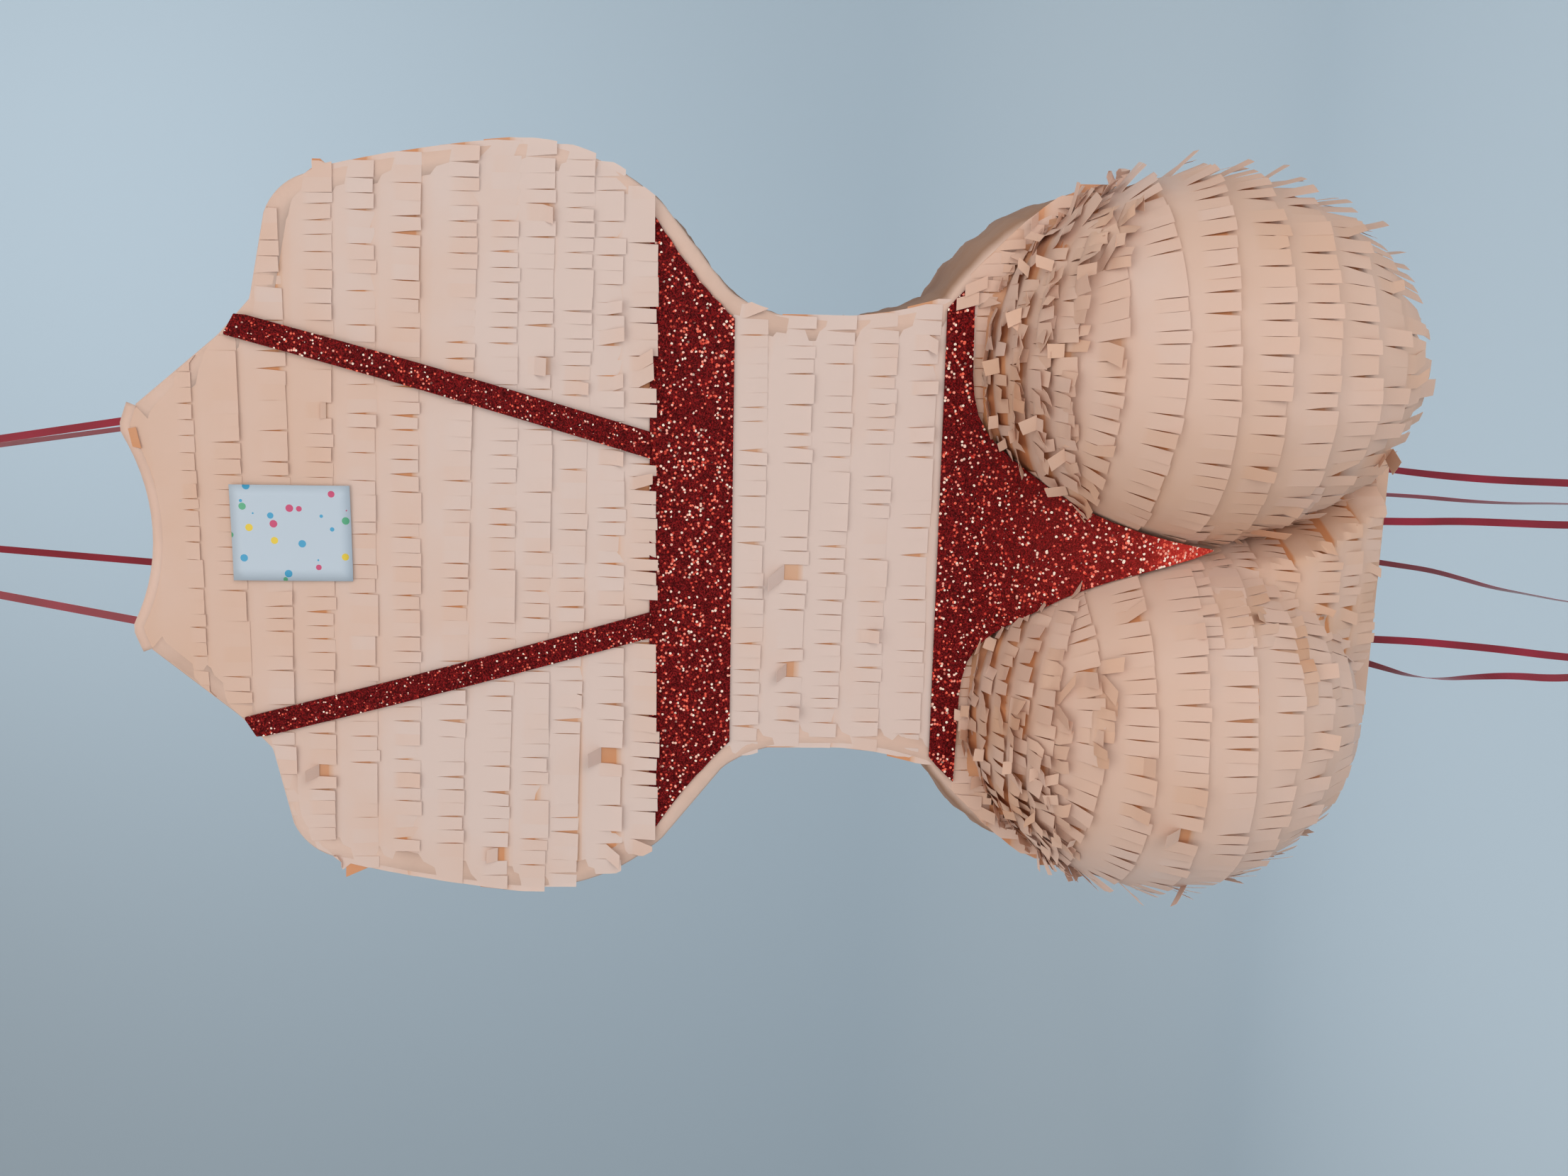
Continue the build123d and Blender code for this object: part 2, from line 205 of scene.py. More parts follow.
def glitter_material():
    """Glitter foam: dark red grains and brighter red flakes; the palest flakes are painted glints, and where
    the foam's attribute is high more of them show and the base is painted a brighter red, a painted
    highlight.
    """
    material, shader, node, link = new_material("glitter_foam")
    place = node("TexCoord")
    painted_glint = node("Attribute", attribute_name="painted_glint")
    grains = node("TexVoronoi", place, Scale=1500.0)
    flakes = node("TexVoronoi", place, Scale=600.0)
    clusters = node("TexNoise", place, Scale=40.0, Detail=2.0)
    grain_parts = node("SeparateColor")
    link(grains, "Color", grain_parts, "Color")
    flake_parts = node("SeparateColor")
    link(flakes, "Color", flake_parts, "Color")
    base = ramp(node, GRAIN_REDS)
    link(grain_parts, "Red", base, "Fac")
    gather = maths(node, link, "MULTIPLY_ADD", (clusters, "Fac"), 0.30, (flake_parts, "Green"))
    lift = maths(node, link, "ADD", (gather, 0), (painted_glint, "Fac"))
    chance = node("MapRange", From_Min=0.93, From_Max=0.96)
    link(lift, 0, chance, "Value")
    small = maths(node, link, "LESS_THAN", (flakes, "Distance"), 0.52)
    shown = maths(node, link, "MULTIPLY", (chance, 0), (small, 0))
    bright = ramp(node, FLAKE_REDS_AND_GLINTS)
    link(flake_parts, "Blue", bright, "Fac")
    mix = node("Mix", data_type="RGBA")
    link(shown, 0, mix, 0)
    tip_highlight = node("Mix", data_type="RGBA")
    link(painted_glint, "Fac", tip_highlight, 0)
    link(base, "Color", tip_highlight, 6)
    tip_highlight.inputs[7].default_value = (*PAINTED_TIP_HIGHLIGHT, 1)
    link(tip_highlight, 2, mix, 6)
    link(bright, "Color", mix, 7)
    link(mix, 2, shader, "Base Color")
    fill(shader, Roughness=0.45, Specular_IOR_Level=0.08)

    centred = node("VectorMath", operation="SUBTRACT")
    centred.inputs[1].default_value = (0.5, 0.5, 0.5)
    link(grains, "Color", centred, 0)
    tilt = node("VectorMath", operation="SCALE", Scale=0.9)
    link(centred, "Vector", tilt, 0)
    surface = node("NewGeometry")
    tilted = node("VectorMath", operation="ADD")
    link(surface, "Normal", tilted, 0)
    link(tilt, "Vector", tilted, 1)
    unit = node("VectorMath", operation="NORMALIZE")
    link(tilted, "Vector", unit, 0)
    link(unit, "Vector", shader, "Normal")
    return material


def ribbon_material():
    """Curling ribbon: crimson, glossy, with fine ridges along it."""
    material, shader, node, link = new_material("curling_ribbon")
    place = node("TexCoord")
    stretch = node("Mapping", place, Scale=(1.0, 1.0, 0.03))
    ridges = node("TexNoise", stretch, Scale=1800.0, Detail=2.0)
    shade = node("TexNoise", place, Scale=22.0, Detail=1.0)
    colour = ramp(node, [(0.3, (0.17, 0.003, 0.010)), (0.7, (0.30, 0.006, 0.028))])
    link(shade, "Fac", colour, "Fac")
    link(colour, "Color", shader, "Base Color")
    fill(shader, Roughness=0.3, Sheen_Weight=0.2)
    add_bumps(node, link, shader, (ridges, 0.25, 0.0002))
    return material


def board_material(name, light, dark, flute_strength):
    """Card or papier-mache: paper fibres, blotches and, on corrugated card, faint flutes."""
    material, shader, node, link = new_material(name)
    place = node("TexCoord")
    blotches = node("TexNoise", place, Scale=30.0, Detail=5.0)
    fibres = node("TexNoise", place, Scale=700.0, Detail=3.0)
    flutes = node("TexWave", place, Scale=70.0, bands_direction="Z")
    mix = node("Mix", data_type="FLOAT")
    mix.inputs[0].default_value = 0.4
    link(blotches, "Fac", mix, 2)
    link(fibres, "Fac", mix, 3)
    colour = ramp(node, [(0.3, dark), (0.7, light)])
    link(mix, 0, colour, "Fac")
    link(colour, "Color", shader, "Base Color")
    fill(shader, Roughness=0.9)
    add_bumps(node, link, shader, (fibres, 0.3, 0.0003), (flutes, flute_strength, 0.0006))
    return material


BLUE, YELLOW, PINK, GREEN = (0.05, 0.33, 0.55), (0.75, 0.55, 0.05), (0.55, 0.06, 0.16), (0.10, 0.40, 0.22)
CONFETTI = [(0.0, BLUE), (0.3, YELLOW), (0.55, PINK), (0.8, GREEN)]
CARD_W, CARD_H = 60.0, 73.0
CARD_AT = (-1.0, 306.5)


def label_material():
    """A white card with a scatter of confetti dots, and no lettering."""
    material, shader, node, link = new_material("label_card")
    place = node("TexCoord")
    dots = node("TexVoronoi", place, Scale=110.0, Randomness=0.8)
    round_dot = maths(node, link, "LESS_THAN", (dots, "Distance"), 0.26)
    split = node("SeparateColor")
    link(dots, "Color", split, "Color")
    hue = ramp(node, CONFETTI)
    hue.color_ramp.interpolation = "CONSTANT"
    link(split, "Red", hue, "Fac")
    mix = node("Mix", data_type="RGBA")
    link(round_dot, 0, mix, 0)
    mix.inputs[6].default_value = (0.48, 0.56, 0.64, 1)
    link(hue, "Color", mix, 7)
    link(mix, 2, shader, "Base Color")
    fill(shader, Roughness=0.45)
    return material


SHADED_WARM, SHADED_DEEP = (0.44, 0.25, 0.16), (0.30, 0.15, 0.09)  # crepe round the box's sides, darkened as painted shade
CREPE = crepe_material("crepe_paper", CREPE_WARM, CREPE_DEEP, 0.10, 0.10)
CREPE_SIDE_SHADED = crepe_material("crepe_paper_side_shaded", SHADED_WARM, SHADED_DEEP, 0.3, 0.6)
GLITTER = glitter_material()
RIBBON = ribbon_material()
BOARD = board_material("corrugated_card", (0.40, 0.27, 0.16), (0.27, 0.17, 0.10), 0.5)
MACHE = board_material("papier_mache", (0.62, 0.58, 0.50), (0.45, 0.41, 0.35), 0.0)
LABEL = label_material()


# ---- mesh tools ----
def running(steps):
    """Running totals of steps, from 0."""
    return np.concatenate([[0], np.cumsum(steps)])


def unit(vectors):
    """Vectors brought to length one."""
    return vectors / np.linalg.norm(vectors, axis=-1, keepdims=True)


def smooth_mesh(name, verts, faces, material, smooth=True):
    """A mesh object in the row frame, from vertices in waist-level millimetres."""
    mesh = bpy.data.meshes.new(name)
    mesh.from_pydata([tuple(v) for v in to_row(verts)], [], faces)
    mesh.validate()
    mesh.materials.append(material)
    mesh.polygons.foreach_set("use_smooth", [smooth] * len(mesh.polygons))
    return add_object(name, mesh)


def thicken(made, thickness, offset=-1.0):
    """Gives a sheet its thickness in millimetres, as real geometry."""
    bend = made.modifiers.new("thickness", "SOLIDIFY")
    bend.thickness = thickness * MM
    bend.offset = offset
    bend.use_even_offset = False
    depsgraph = bpy.context.evaluated_depsgraph_get()
    mesh = bpy.data.meshes.new_from_object(made.evaluated_get(depsgraph))
    made.modifiers.clear()
    made.data = mesh


def strip_faces(upper, lower, count):
    """Quads between two rows of count vertices, which begin at upper and lower."""
    return [(upper + c, upper + c + 1, lower + c + 1, lower + c) for c in range(count - 1)]


def grid_faces(rows, columns):
    """Quads of a grid of vertices stored row by row."""
    starts = range(0, (rows - 1) * columns, columns)
    return [face for start in starts for face in strip_faces(start, start + columns, columns)]


def write_attribute(made, name, values):
    """Stores a number at each vertex, for the material to read."""
    attribute = made.data.attributes.new(name, "FLOAT", "POINT")
    attribute.data.foreach_set("value", np.array(values, np.float32))


def turn_faces(made, merge=0.0):
    """Turns a sheet's faces the same way; vertices nearer than merge metres become one."""
    edit = bmesh.new()
    edit.from_mesh(made.data)
    if merge:
        bmesh.ops.remove_doubles(edit, verts=edit.verts, dist=merge)
    bmesh.ops.recalc_face_normals(edit, faces=edit.faces)
    edit.to_mesh(made.data)
    edit.free()


def settle(made, body, node):
    """Rides a piece on its body, and lets it stand for its CAD node."""
    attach(made, body)
    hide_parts(node)


def ripple(x, y, z, size, amount):
    """Smooth noise at a place, from -amount to amount."""
    return amount * noise.noise(Vector((x / size, y / size, z / size)))


# ---- the torso's outline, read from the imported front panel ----
NECK_HALF, NECK_CORNER = 76.0, 397.0
NECK_LOW = 380.0  # the neck's arc lies above this
SHOULDER_END = 280.0
FOOT = -387.0


def read_outline():
    """The neck's arc and the side's line on the right half, as x and z in order."""
    points = from_row(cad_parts["front_panel"].data)
    points = np.unique(np.round(points[points[:, 0] >= 0][:, [0, 2]], 2), axis=0)
    neck = points[(points[:, 0] <= NECK_HALF + 0.1) & (points[:, 1] > NECK_LOW)]
    side = points[points[:, 0] >= NECK_HALF - 0.1]
    return neck[np.argsort(neck[:, 0])], side[np.argsort(side[:, 1])]


NECK, SIDE = read_outline()
SHOULDER = SIDE[SIDE[:, 1] > SHOULDER_END - 2][::-1]  # from the neck's corner out to the shoulder's end
TOP_LINE = np.vstack([NECK, SHOULDER])
TOP_LINE = TOP_LINE[np.argsort(TOP_LINE[:, 0])]


def half_width(z):
    """The outline's half width at a height below the neck's corner."""
    return np.interp(z, SIDE[:, 1], SIDE[:, 0])


def top_height(x):
    """The outline's upper edge at a distance from the middle."""
    return np.interp(np.abs(x), TOP_LINE[:, 0], TOP_LINE[:, 1])


def keep_inside(x, z, overhang=1.5):
    """Cuts a point's x and z back to the outline."""
    z = np.minimum(z, top_height(x))
    limit = half_width(np.minimum(z, NECK_CORNER)) + overhang
    limit = np.where(z > SHOULDER_END, 1e3, limit)
    return np.clip(x, -limit, limit), z


# ---- crepe fringes ----
SLIT = 16.0  # cut length of the tabs
TAB = 9.2  # usual tab width
LEVELS = 5  # rings of vertices down a tab
DEEP = 0.95  # tint of the strip that lies under the row above, painted shade
MISSING = 0.001  # share of tabs torn off
PAPER = 0.15  # the crepe's thickness


class Fringe:
    """Rows of fringed crepe paper, gathered into one mesh."""

    def __init__(self, seed):
        self.rng = np.random.default_rng(seed)
        self.verts, self.faces, self.tints = [], [], []

    def add_points(self, points, tint):
        """Adds vertices with their tint, and returns the first one's number."""
        first = len(self.verts)
        self.verts.extend(points)
        self.tints.extend(np.broadcast_to(tint, len(points)))
        return first

    def edges(self, low, high, tab=TAB):
        """Tab boundaries from low to high, unevenly cut."""
        count = max(1, round((high - low) / tab))
        widths = self.rng.normal(1.0, 0.10, count).clip(0.7, 1.35)
        return low + running(widths) * (high - low) / widths.sum()

    def row(self, place, edges, pitch, look):
        """One row; place(s, h, lift) gives points at s along it, h down it and lift off it."""
        rng = self.rng
        margin = pitch - look.get("slit", SLIT)
        columns = np.sort(np.concatenate([edges, (edges[1:] + edges[:-1]) / 2]))
        # painted shade: the tucked strip gets the deep tint, and the line where it comes out from under the
        # row above a slightly deeper one; pale lightens it, and a row's negative shade is made up for
        # distance down the row, tint, lift and share of the ripples, from the tucked top to the tabs' roots
        deep = DEEP - look.get("pale", 0.0) - min(0.0, look.get("shade", 0.0))
        levels = [
            (-look["tuck"], deep, 0.12, 0.0),
            (-4.0, deep, 0.15, 0.0),
            (0.0, 0.15, 0.25, 0.0),
            (margin * 0.5, 0.0, look["lift"], 0.5),
            (margin, 0.0, look["lift"], 1.0),
        ]
        ripples = np.interp(columns, edges[::2], abs(rng.normal(0, look["ripple"], len(edges[::2]))))
        tone = look.get("tone", lambda s: 0.0)
        tint = rng.uniform(-0.1, 0.1) + look.get("shade", 0.0)
        toned = tint + np.array([tone(s) for s in columns])
        starts = []
        for h, shade, lift, share in levels:
            lifts = lift + ripples * share
            starts.append(self.add_points(place(columns, np.full(len(columns), h), lifts), toned + shade))
        for upper, lower in zip(starts, starts[1:]):
            self.faces += strip_faces(upper, lower, len(columns))
        cuts = self.cuts(len(edges), look.get("shut", 0.3), look.get("open", 0.14))
        lean, shape = rng.normal(0, 0.35), self.tab_shape(look, 1.0)
        for j in range(len(edges) - 1):
            middle = (edges[j] + edges[j + 1]) / 2
            loose = look["mess"]
            if cuts[j][0] > 0 or rng.random() < loose:  # a new piece of fringe starts at every cut
                lean, shape = rng.normal(0, 0.3 + 0.8 * loose), self.tab_shape(look, loose)
            if rng.random() < MISSING:
                continue
            bend = dict(shape, lean=lean, loose=loose)
            if "flare" in look:
                bend["angle"] += math.radians(look["flare"](middle) * rng.uniform(0.3, 1.3))
            if look.get("pressed") and look["pressed"](middle):
                bend.update(angle=0.0, curl=0.0, twist=0.0, loose=0.0)
            span = (edges[j], edges[j + 1], cuts[j], cuts[j + 1])
            first = 2 * j  # the tab's first column
            waves = ripples[first : first + 3]
            self.tab(place, span, margin, waves, starts[-1] + first, look, toned[first], bend)

    def cuts(self, count, shut, wide):
        """Each slit's opening at the tip and in the middle; a share of the slits stays shut."""
        rng = self.rng
        kinds = rng.random(count)
        tips = np.where(kinds < shut, 0.0, rng.uniform(0.3, 1.1, count))
        bellies = np.where(kinds < shut, 0.0, rng.exponential(0.15, count))
        opened = kinds > 1 - wide
        tips[opened] = rng.uniform(1.1, 2.6, opened.sum())
        bellies[opened] = rng.uniform(0.0, 0.6, opened.sum())
        return np.stack([tips, bellies], 1)

    def tab_shape(self, look, loose):
        """How the tabs of one piece of fringe bend; looser ones vary more."""
        rng = self.rng
        return {
            "length": (look.get("slit", SLIT) + look.get("over", 2.0)) * rng.normal(1.0, 0.03),
            "angle": math.radians(look["angle"] + abs(rng.normal(0, look["spread"]))),
            "curl": math.radians(rng.normal(0.2, 0.5 + 6.0 * loose)),
            "twist": rng.normal(0, 0.02 + 0.3 * loose),
        }

    def tab(self, place, span, margin, ripples, root, look, tint, bend):
        """One tab, from its root to its tip; now and then a loose one is folded over."""
        rng = self.rng
        left, right, left_cut, right_cut = span
        folded = rng.random() < bend["loose"]
        fold_at = rng.uniform(0.25, 0.85)
        fold_angle = math.radians(rng.uniform(8, 38) if rng.random() < 0.85 else rng.uniform(120, 165))
        fold_side = rng.normal(0, 5.0)
        h, lift, s_shift = margin, look["lift"] + 0.2, 0.0
        stiff = look.get("stiff", 0.0)
        rings = [root]
        # painted shade: a folded tab is tinted deeper
        tab_tint = tint + rng.normal(0, 0.05) + (0.15 if folded else 0)
        step = bend["length"] / LEVELS
        for k in range(1, LEVELS + 1):
            t = k / LEVELS
            slope = bend["angle"] + bend["curl"] * k
            if folded and t > fold_at:
                slope = fold_angle
                s_shift += fold_side / LEVELS
            h += math.cos(slope) * step
            lift = max(lift + math.sin(slope) * step, 0.15)
            sides = [cut[0] * t**1.3 + cut[1] * math.sin(math.pi * t) for cut in (left_cut, right_cut)]
            s = np.array([left + sides[0] / 2, (left + right) / 2, right - sides[1] / 2])
            s += bend["lean"] * t + s_shift
            roll = bend["twist"] * t * (right - left) / 2
            lifts = np.array([lift - roll, lift, lift + roll]) + ripples + stiff * (t * bend["length"]) ** 2
            points = place(s, np.full(3, h) + np.array([roll, 0, -roll]) * 0.3, np.maximum(lifts, 0.1))
            rings.append(self.add_points(points, tab_tint))
        for upper, lower in zip(rings, rings[1:]):
            self.faces += strip_faces(upper, lower, 3)

    def backing(self, place, low, high, top, foot, lift=0.1, tint=DEEP):
        """A plain strip, from top to foot down the row; by default it gets the deep tint, painted shade."""
        count = 40
        columns, lifts = np.linspace(low, high, count), np.full(count, lift)
        upper, lower = (self.add_points(place(columns, np.full(count, h), lifts), tint) for h in (top, foot))
        self.faces += strip_faces(upper, lower, count)

    def build(self, name, body, node):
        """The rows as one piece that rides on body and stands for node."""
        made = smooth_mesh(name, self.verts, self.faces, CREPE)
        write_attribute(made, "tint", self.tints)
        edit = bmesh.new()
        edit.from_mesh(made.data)
        bmesh.ops.dissolve_degenerate(edit, dist=1e-5, edges=edit.edges)
        loose = [v for v in edit.verts if not v.link_faces]
        bmesh.ops.delete(edit, geom=loose, context="VERTS")
        edit.to_mesh(made.data)
        edit.free()
        thicken(made, PAPER)
        made.data.set_sharp_from_angle(angle=math.radians(35))
        settle(made, body, node)


def flat_place(top, face, wave=0.0, phase=0.0, tilt=0.0, overhang=1.5):
    """Places a row on the front (face -1) or back (face 1) panel, cut to the outline."""

    def place(s, h, lift):
        z = top - h + wave * np.sin(s / 70.0 + phase) + tilt * s
        x, z = keep_inside(s, z, overhang)
        y = face * (BACK + lift)
        return np.stack([x, y + 0 * x, z], 1)

    return place


STRAP_FOOT, STRAP_TOP = (57.0, 84.0), (126.5, 337.5)
STRAP_HALF = 8.0


def under_strap(z):
    """Says whether a place along a row at height z lies under a strap or the card."""

    def pressed(x):
        middle = np.interp(z, [STRAP_FOOT[1], STRAP_TOP[1]], [STRAP_FOOT[0], STRAP_TOP[0]])
        on_strap = z > STRAP_FOOT[1] - 5 and abs(abs(x) - middle) < STRAP_HALF + 5
        on_card = abs(z - CARD_AT[1]) < CARD_H / 2 + 8 and abs(x - CARD_AT[0]) < CARD_W / 2 + 3
        return on_strap or on_card

    return pressed


# A row's look: its lift and ripple off the surface, the share of loose tabs (mess), the tabs' angle and its
# spread in degrees, and the length tucked under the row above. A row may add its slits' length, how far its
# tabs run over the next row, the shares of shut and open slits, stiff tabs, shade and pale for its tint, and
# for a place along it a tone, a flare in degrees, and whether it is pressed flat.
BASE = dict(lift=0.4, ripple=0.10, mess=0.03, angle=0.7, spread=0.8, tuck=19.0)


def flat_rows(fringe, tops, pitch, face, look, limit=240.0, tab=TAB, skip=None):
    """Rows on a flat panel, each as wide as the outline there."""
    rng = fringe.rng
    for top in tops:
        foot = top - pitch
        past = rng.uniform(1.5, 6.0)
        reach = float(half_width(min(foot + 5, NECK_CORNER - 1))) + (past if foot < SHOULDER_END else 8.0)
        edges = fringe.edges(-min(limit, reach), min(limit, reach), tab)
        tilt = look.get("tilt", 0.0) * rng.uniform(0.7, 1.3)
        overhang = past if face < 0 else 1.5
        place = flat_place(top, face, rng.normal(0, 0.7), rng.uniform(0, 6), tilt, overhang)
        row_look = dict(look, pressed=under_strap(foot + 5) if face < 0 else None)
        if face > 0 and abs(foot - HATCH_TOP) < 5:  # short, flat tabs over the hatch's crease
            row_look.update(over=-3.5, mess=0.0, angle=0.2, spread=0.1, lift=0.5)
        for part in skip(top, edges) if skip else [edges]:
            if len(part) > 1:
                fringe.row(place, part, pitch, row_look)


BAND_TOP, BAND_FOOT, THONG_TOP = 84.0, 33.0, -99.0
CHEST_TIPS = (84, 103, 127, 149, 171, 199, 230, 257, 283, 310, 338, 364)  # in the middle of each row
CHEST_TILT = (0.0, -0.01, -0.03, -0.035, -0.045, -0.037, -0.035, -0.035, -0.03, -0.02, -0.01)
chest = Fringe(11)
for k, (tip, top, tilt) in enumerate(zip(CHEST_TIPS, CHEST_TIPS[1:], CHEST_TILT)):
    chest_look = dict(BASE, tilt=tilt, slit=min(SLIT, top - tip - 5.0), mess=0.10 if k < 2 else 0.025)
    chest_look["shade"] = float(np.interp(tip, (210, 320), (-0.38, 0.05)))  # warmer near the neck
    if k == 0:  # the lowest tabs lie over the glitter band's edge
        chest_look.update(angle=9.5, spread=1.5, over=4.0)
    flat_rows(chest, [top], top - tip, -1, chest_look)
# the top strip: smooth round the neck, with short tabs
NECK_TOP = 404.0
NECK_LOOK = dict(BASE, slit=9.0, over=1.0, mess=0.06, spread=2.0, shade=0.1)
flat_rows(chest, [NECK_TOP], NECK_TOP - CHEST_TIPS[-1], -1, NECK_LOOK)
# a folded corner beside the neck's right ribbon, tinted deep as painted shade
folded = [(50, -61.6, 395), (63, -61.6, 397.5), (62, -60.9, 402.5), (51, -60.9, 400.5)]
corner = chest.add_points(folded, DEEP)
chest.faces.append((corner, corner + 1, corner + 2, corner + 3))
chest.backing(flat_place(BAND_TOP, -1, overhang=-3.0), -190, 190, -20.0, -0.5)
chest.build("chest_fringe", SHELL, "crepe_chest_rows")

waist = Fringe(12)
WAIST_TIPS = (38, 15, -13, -37, -64, -91, -113)  # the last strip runs on under the thong
WAIST_ENDS = (WAIST_TIPS[0], WAIST_TIPS[-2])
for top, tip in zip(WAIST_TIPS, WAIST_TIPS[1:]):
    tilt = -0.004 if top in WAIST_ENDS else -0.015
    waist_look = dict(BASE, tilt=tilt, slit=9.0 if tip == WAIST_TIPS[-1] else SLIT, shade=-0.35)
    flat_rows(waist, [top], top - tip, -1, waist_look, limit=150.0)
waist.build("waist_fringe", SHELL, "crepe_waist_rows")

# ---- domes ----
DOME_X, DOME_Z = 110.0, -245.0
DOME_R, DOME_RISE = 108.0, 121.0
DOME_OUTER = 116.0  # the fringe stands further out on each dome's outer side
DOME_DROP = {-1: 125.0, 1: 143.0}  # and hangs under it
ARC = np.linspace(0, math.pi, 721)


def arc_lengths(side):
    """Length from a dome's top down its middle, at each step of ARC."""
    drop = np.where(ARC < math.pi / 2, DOME_RISE, DOME_DROP[side])
    step = np.hypot(DOME_R * np.cos(ARC), drop * np.sin(ARC))
    return running((step[1:] + step[:-1]) / 2 * np.diff(ARC))


def dome_place(side, start, around, wave, phase):
    """Places a row round a dome; s runs to around, from the panel on its right to the panel on its left."""
    lengths = arc_lengths(side)

    def place(s, h, lift):
        turn = np.pi * (s / around)
        theta = np.interp(start + h + wave * np.sin(3.3 * turn + phase), lengths, ARC)
        sin_t, cos_t = np.sin(theta), np.cos(theta)
        wide = np.where(side * np.cos(turn) > 0, DOME_OUTER, DOME_R)
        high = np.where(cos_t > 0, DOME_RISE, DOME_DROP[side])
        x = wide * sin_t * np.cos(turn)
        y = -DOME_R * sin_t * np.sin(turn)
        z = high * cos_t
        normal = unit(np.stack([x / wide**2, y / DOME_R**2, z / high**2], 1))
        points = np.stack([x, y, z], 1) + normal * np.asarray(lift)[:, None]
        points[:, 1] = np.minimum(points[:, 1], -0.6)
        return points + [side * DOME_X, FRONT, DOME_Z]

    return place


# for each dome row: length along the dome down to its foot, pitch, slit and share of loose tabs
DOME_ROWS = ((116, 28, 16, 0.16), (147, 31, 17, 0.08), (177, 30, 17, 0.08))
DOME_ROWS += ((206, 29, 17, 0.08), (235, 29, 17, 0.08), (263, 28, 17, 0.08))
DOME_ROWS += ((291, 28, 16, 0.09), (318, 27, 15, 0.12), (343, 25, 15, 0.14))
DOME_LOOK = dict(lift=0.5, ripple=0.45, stiff=0.004, tuck=20.0, over=2.5, open=0.2, shut=0.12)


def dome_fringe(name, side, seed, droop_flare):
    """Rows round a dome; the lower ones hang off its underside, and the ends stand out at its sides."""
    fringe = Fringe(seed)
    for foot, pitch, slit, loose in DOME_ROWS:
        start = foot - pitch
        theta = float(np.interp(foot, arc_lengths(side), ARC))
        around = math.pi * DOME_R * max(math.sin(theta), 0.3)
        droop = max(0.0, math.degrees(theta) - 85.0)

        def flare(s, around=around, droop=droop):
            end = max(0.0, side * math.cos(math.pi * s / around) - 0.86) / 0.14
            return 30.0 * end + droop_flare * droop

        # painted shade: deeper on each dome's inner side, towards the cleft, far more on the right dome; the
        # right dome's rows are also a little warmer, the lower ones more
        def tone(s, around=around, low=foot > 200):
            inner = max(0.0, -side * math.cos(math.pi * s / around) - 0.2)
            return 0.65 * inner + (0.12 if low else 0.06) if side > 0 else 0.1 * inner

        look = dict(DOME_LOOK, tone=tone, flare=flare, slit=slit, mess=loose)
        look.update(angle=0.8 + 5.0 * loose, spread=0.9 + 5.0 * loose)
        count = max(3, round(around / TAB))
        widths = fringe.rng.normal(1.0, 0.12, count).clip(0.7, 1.4)
        edges = running(widths) / widths.sum() * around
        place = dome_place(side, start, around, fringe.rng.uniform(1.0, 2.6), fringe.rng.uniform(0, 6))
        fringe.row(place, edges, pitch, look)
    fringe.build(f"{name}_fringe", SHELL, f"crepe_{name}")


dome_fringe("dome_left", -1, 21, 0.10)
dome_fringe("dome_right", 1, 22, 0.28)

# ---- hips: rows draped over the panel and the domes' tops ----
# the thong's half width at heights down its arms, and then down its curved edge to the tip
THONG_EDGE = [(-98, 144), (-103, 150), (-109, 156), (-114.5, 161), (-115.5, 104), (-117, 91), (-120, 79)]
THONG_EDGE += [(-125, 69.5), (-131, 61.5), (-139, 54), (-149, 46), (-160, 37.5), (-172, 30), (-186, 23)]
THONG_EDGE += [(-201, 17), (-217, 12), (-234, 7.5), (-250, 3.8), (-265, 0.4)]
# how far its middle stands off the panel at some heights
THONG_RIDE = ((-266, 29), (-246, 41), (-222, 46), (-190, 41), (-158, 31), (-135, 14), (-115, 3))
THONG_RIDE += ((THONG_TOP, 0),)
# depth of the fringe between the domes at some heights, and how far towards the right dome it goes
BRIDGE = ((-387, 10), (-375, 18), (-360, 28), (-340, 40), (-320, 45), (-300, 42))
BRIDGE += ((-285, 36), (-265, 25), (-235, 13), (-205, 0))
BRIDGE_END = ((-387, 40), (-360, 30), (-325, 12), (-290, 2), (-250, 6), (-205, 20))


def thong_lift(x, z):
    """How far the thong's sheet stands off the panel."""
    ride_z, ride_y = zip(*THONG_RIDE)
    inner = np.clip((105.0 - np.abs(x)) / 70.0, 0.0, 1.0)
    return 2.4 + np.interp(z, ride_z, ride_y) * inner * inner * (3 - 2 * inner)


def in_thong(x, z):
    """Says whether places on the panel lie under the thong."""
    edge_z, edge_x = zip(*THONG_EDGE[::-1])
    return (np.abs(x) < np.interp(z, edge_z, edge_x) + 1.0) & (z > -268.0)


def dome_depth(x, z, side):
    """How far a dome's fringe stands off the panel."""
    out, down = side * x - DOME_X, z - DOME_Z
    across = np.where(out > 0, out / DOME_OUTER, out / DOME_R)
    along = np.where(down > 0, down / DOME_RISE, down / DOME_DROP[side])
    return DOME_R * np.sqrt(np.maximum(0.0, 1 - across**2 - along**2))


def hip_depth(x, z):
    """Depth of the draped surface: panel, domes and the bridge between them, held in under the thong."""
    bridge_z, bridge_y = zip(*BRIDGE)
    end = np.interp(z, *zip(*BRIDGE_END))
    fade_left, fade_right = np.clip((120.0 + x) / 60.0, 0.0, 1.0), np.clip((end + 4 - x) / 16.0, 0.0, 1.0)
    middle = np.interp(z, bridge_z, bridge_y) * fade_left * fade_right
    depth = np.maximum(dome_depth(x, z, -1), dome_depth(x, z, 1))
    apart = np.maximum(0.0, 1 - np.abs(depth - middle) / 16.0) * np.clip(middle / 8.0, 0.0, 1.0)
    depth = np.maximum(depth, middle) + 4.0 * apart * apart
    return np.where(in_thong(x, z), np.minimum(depth, thong_lift(x, z) - 2.6), depth)


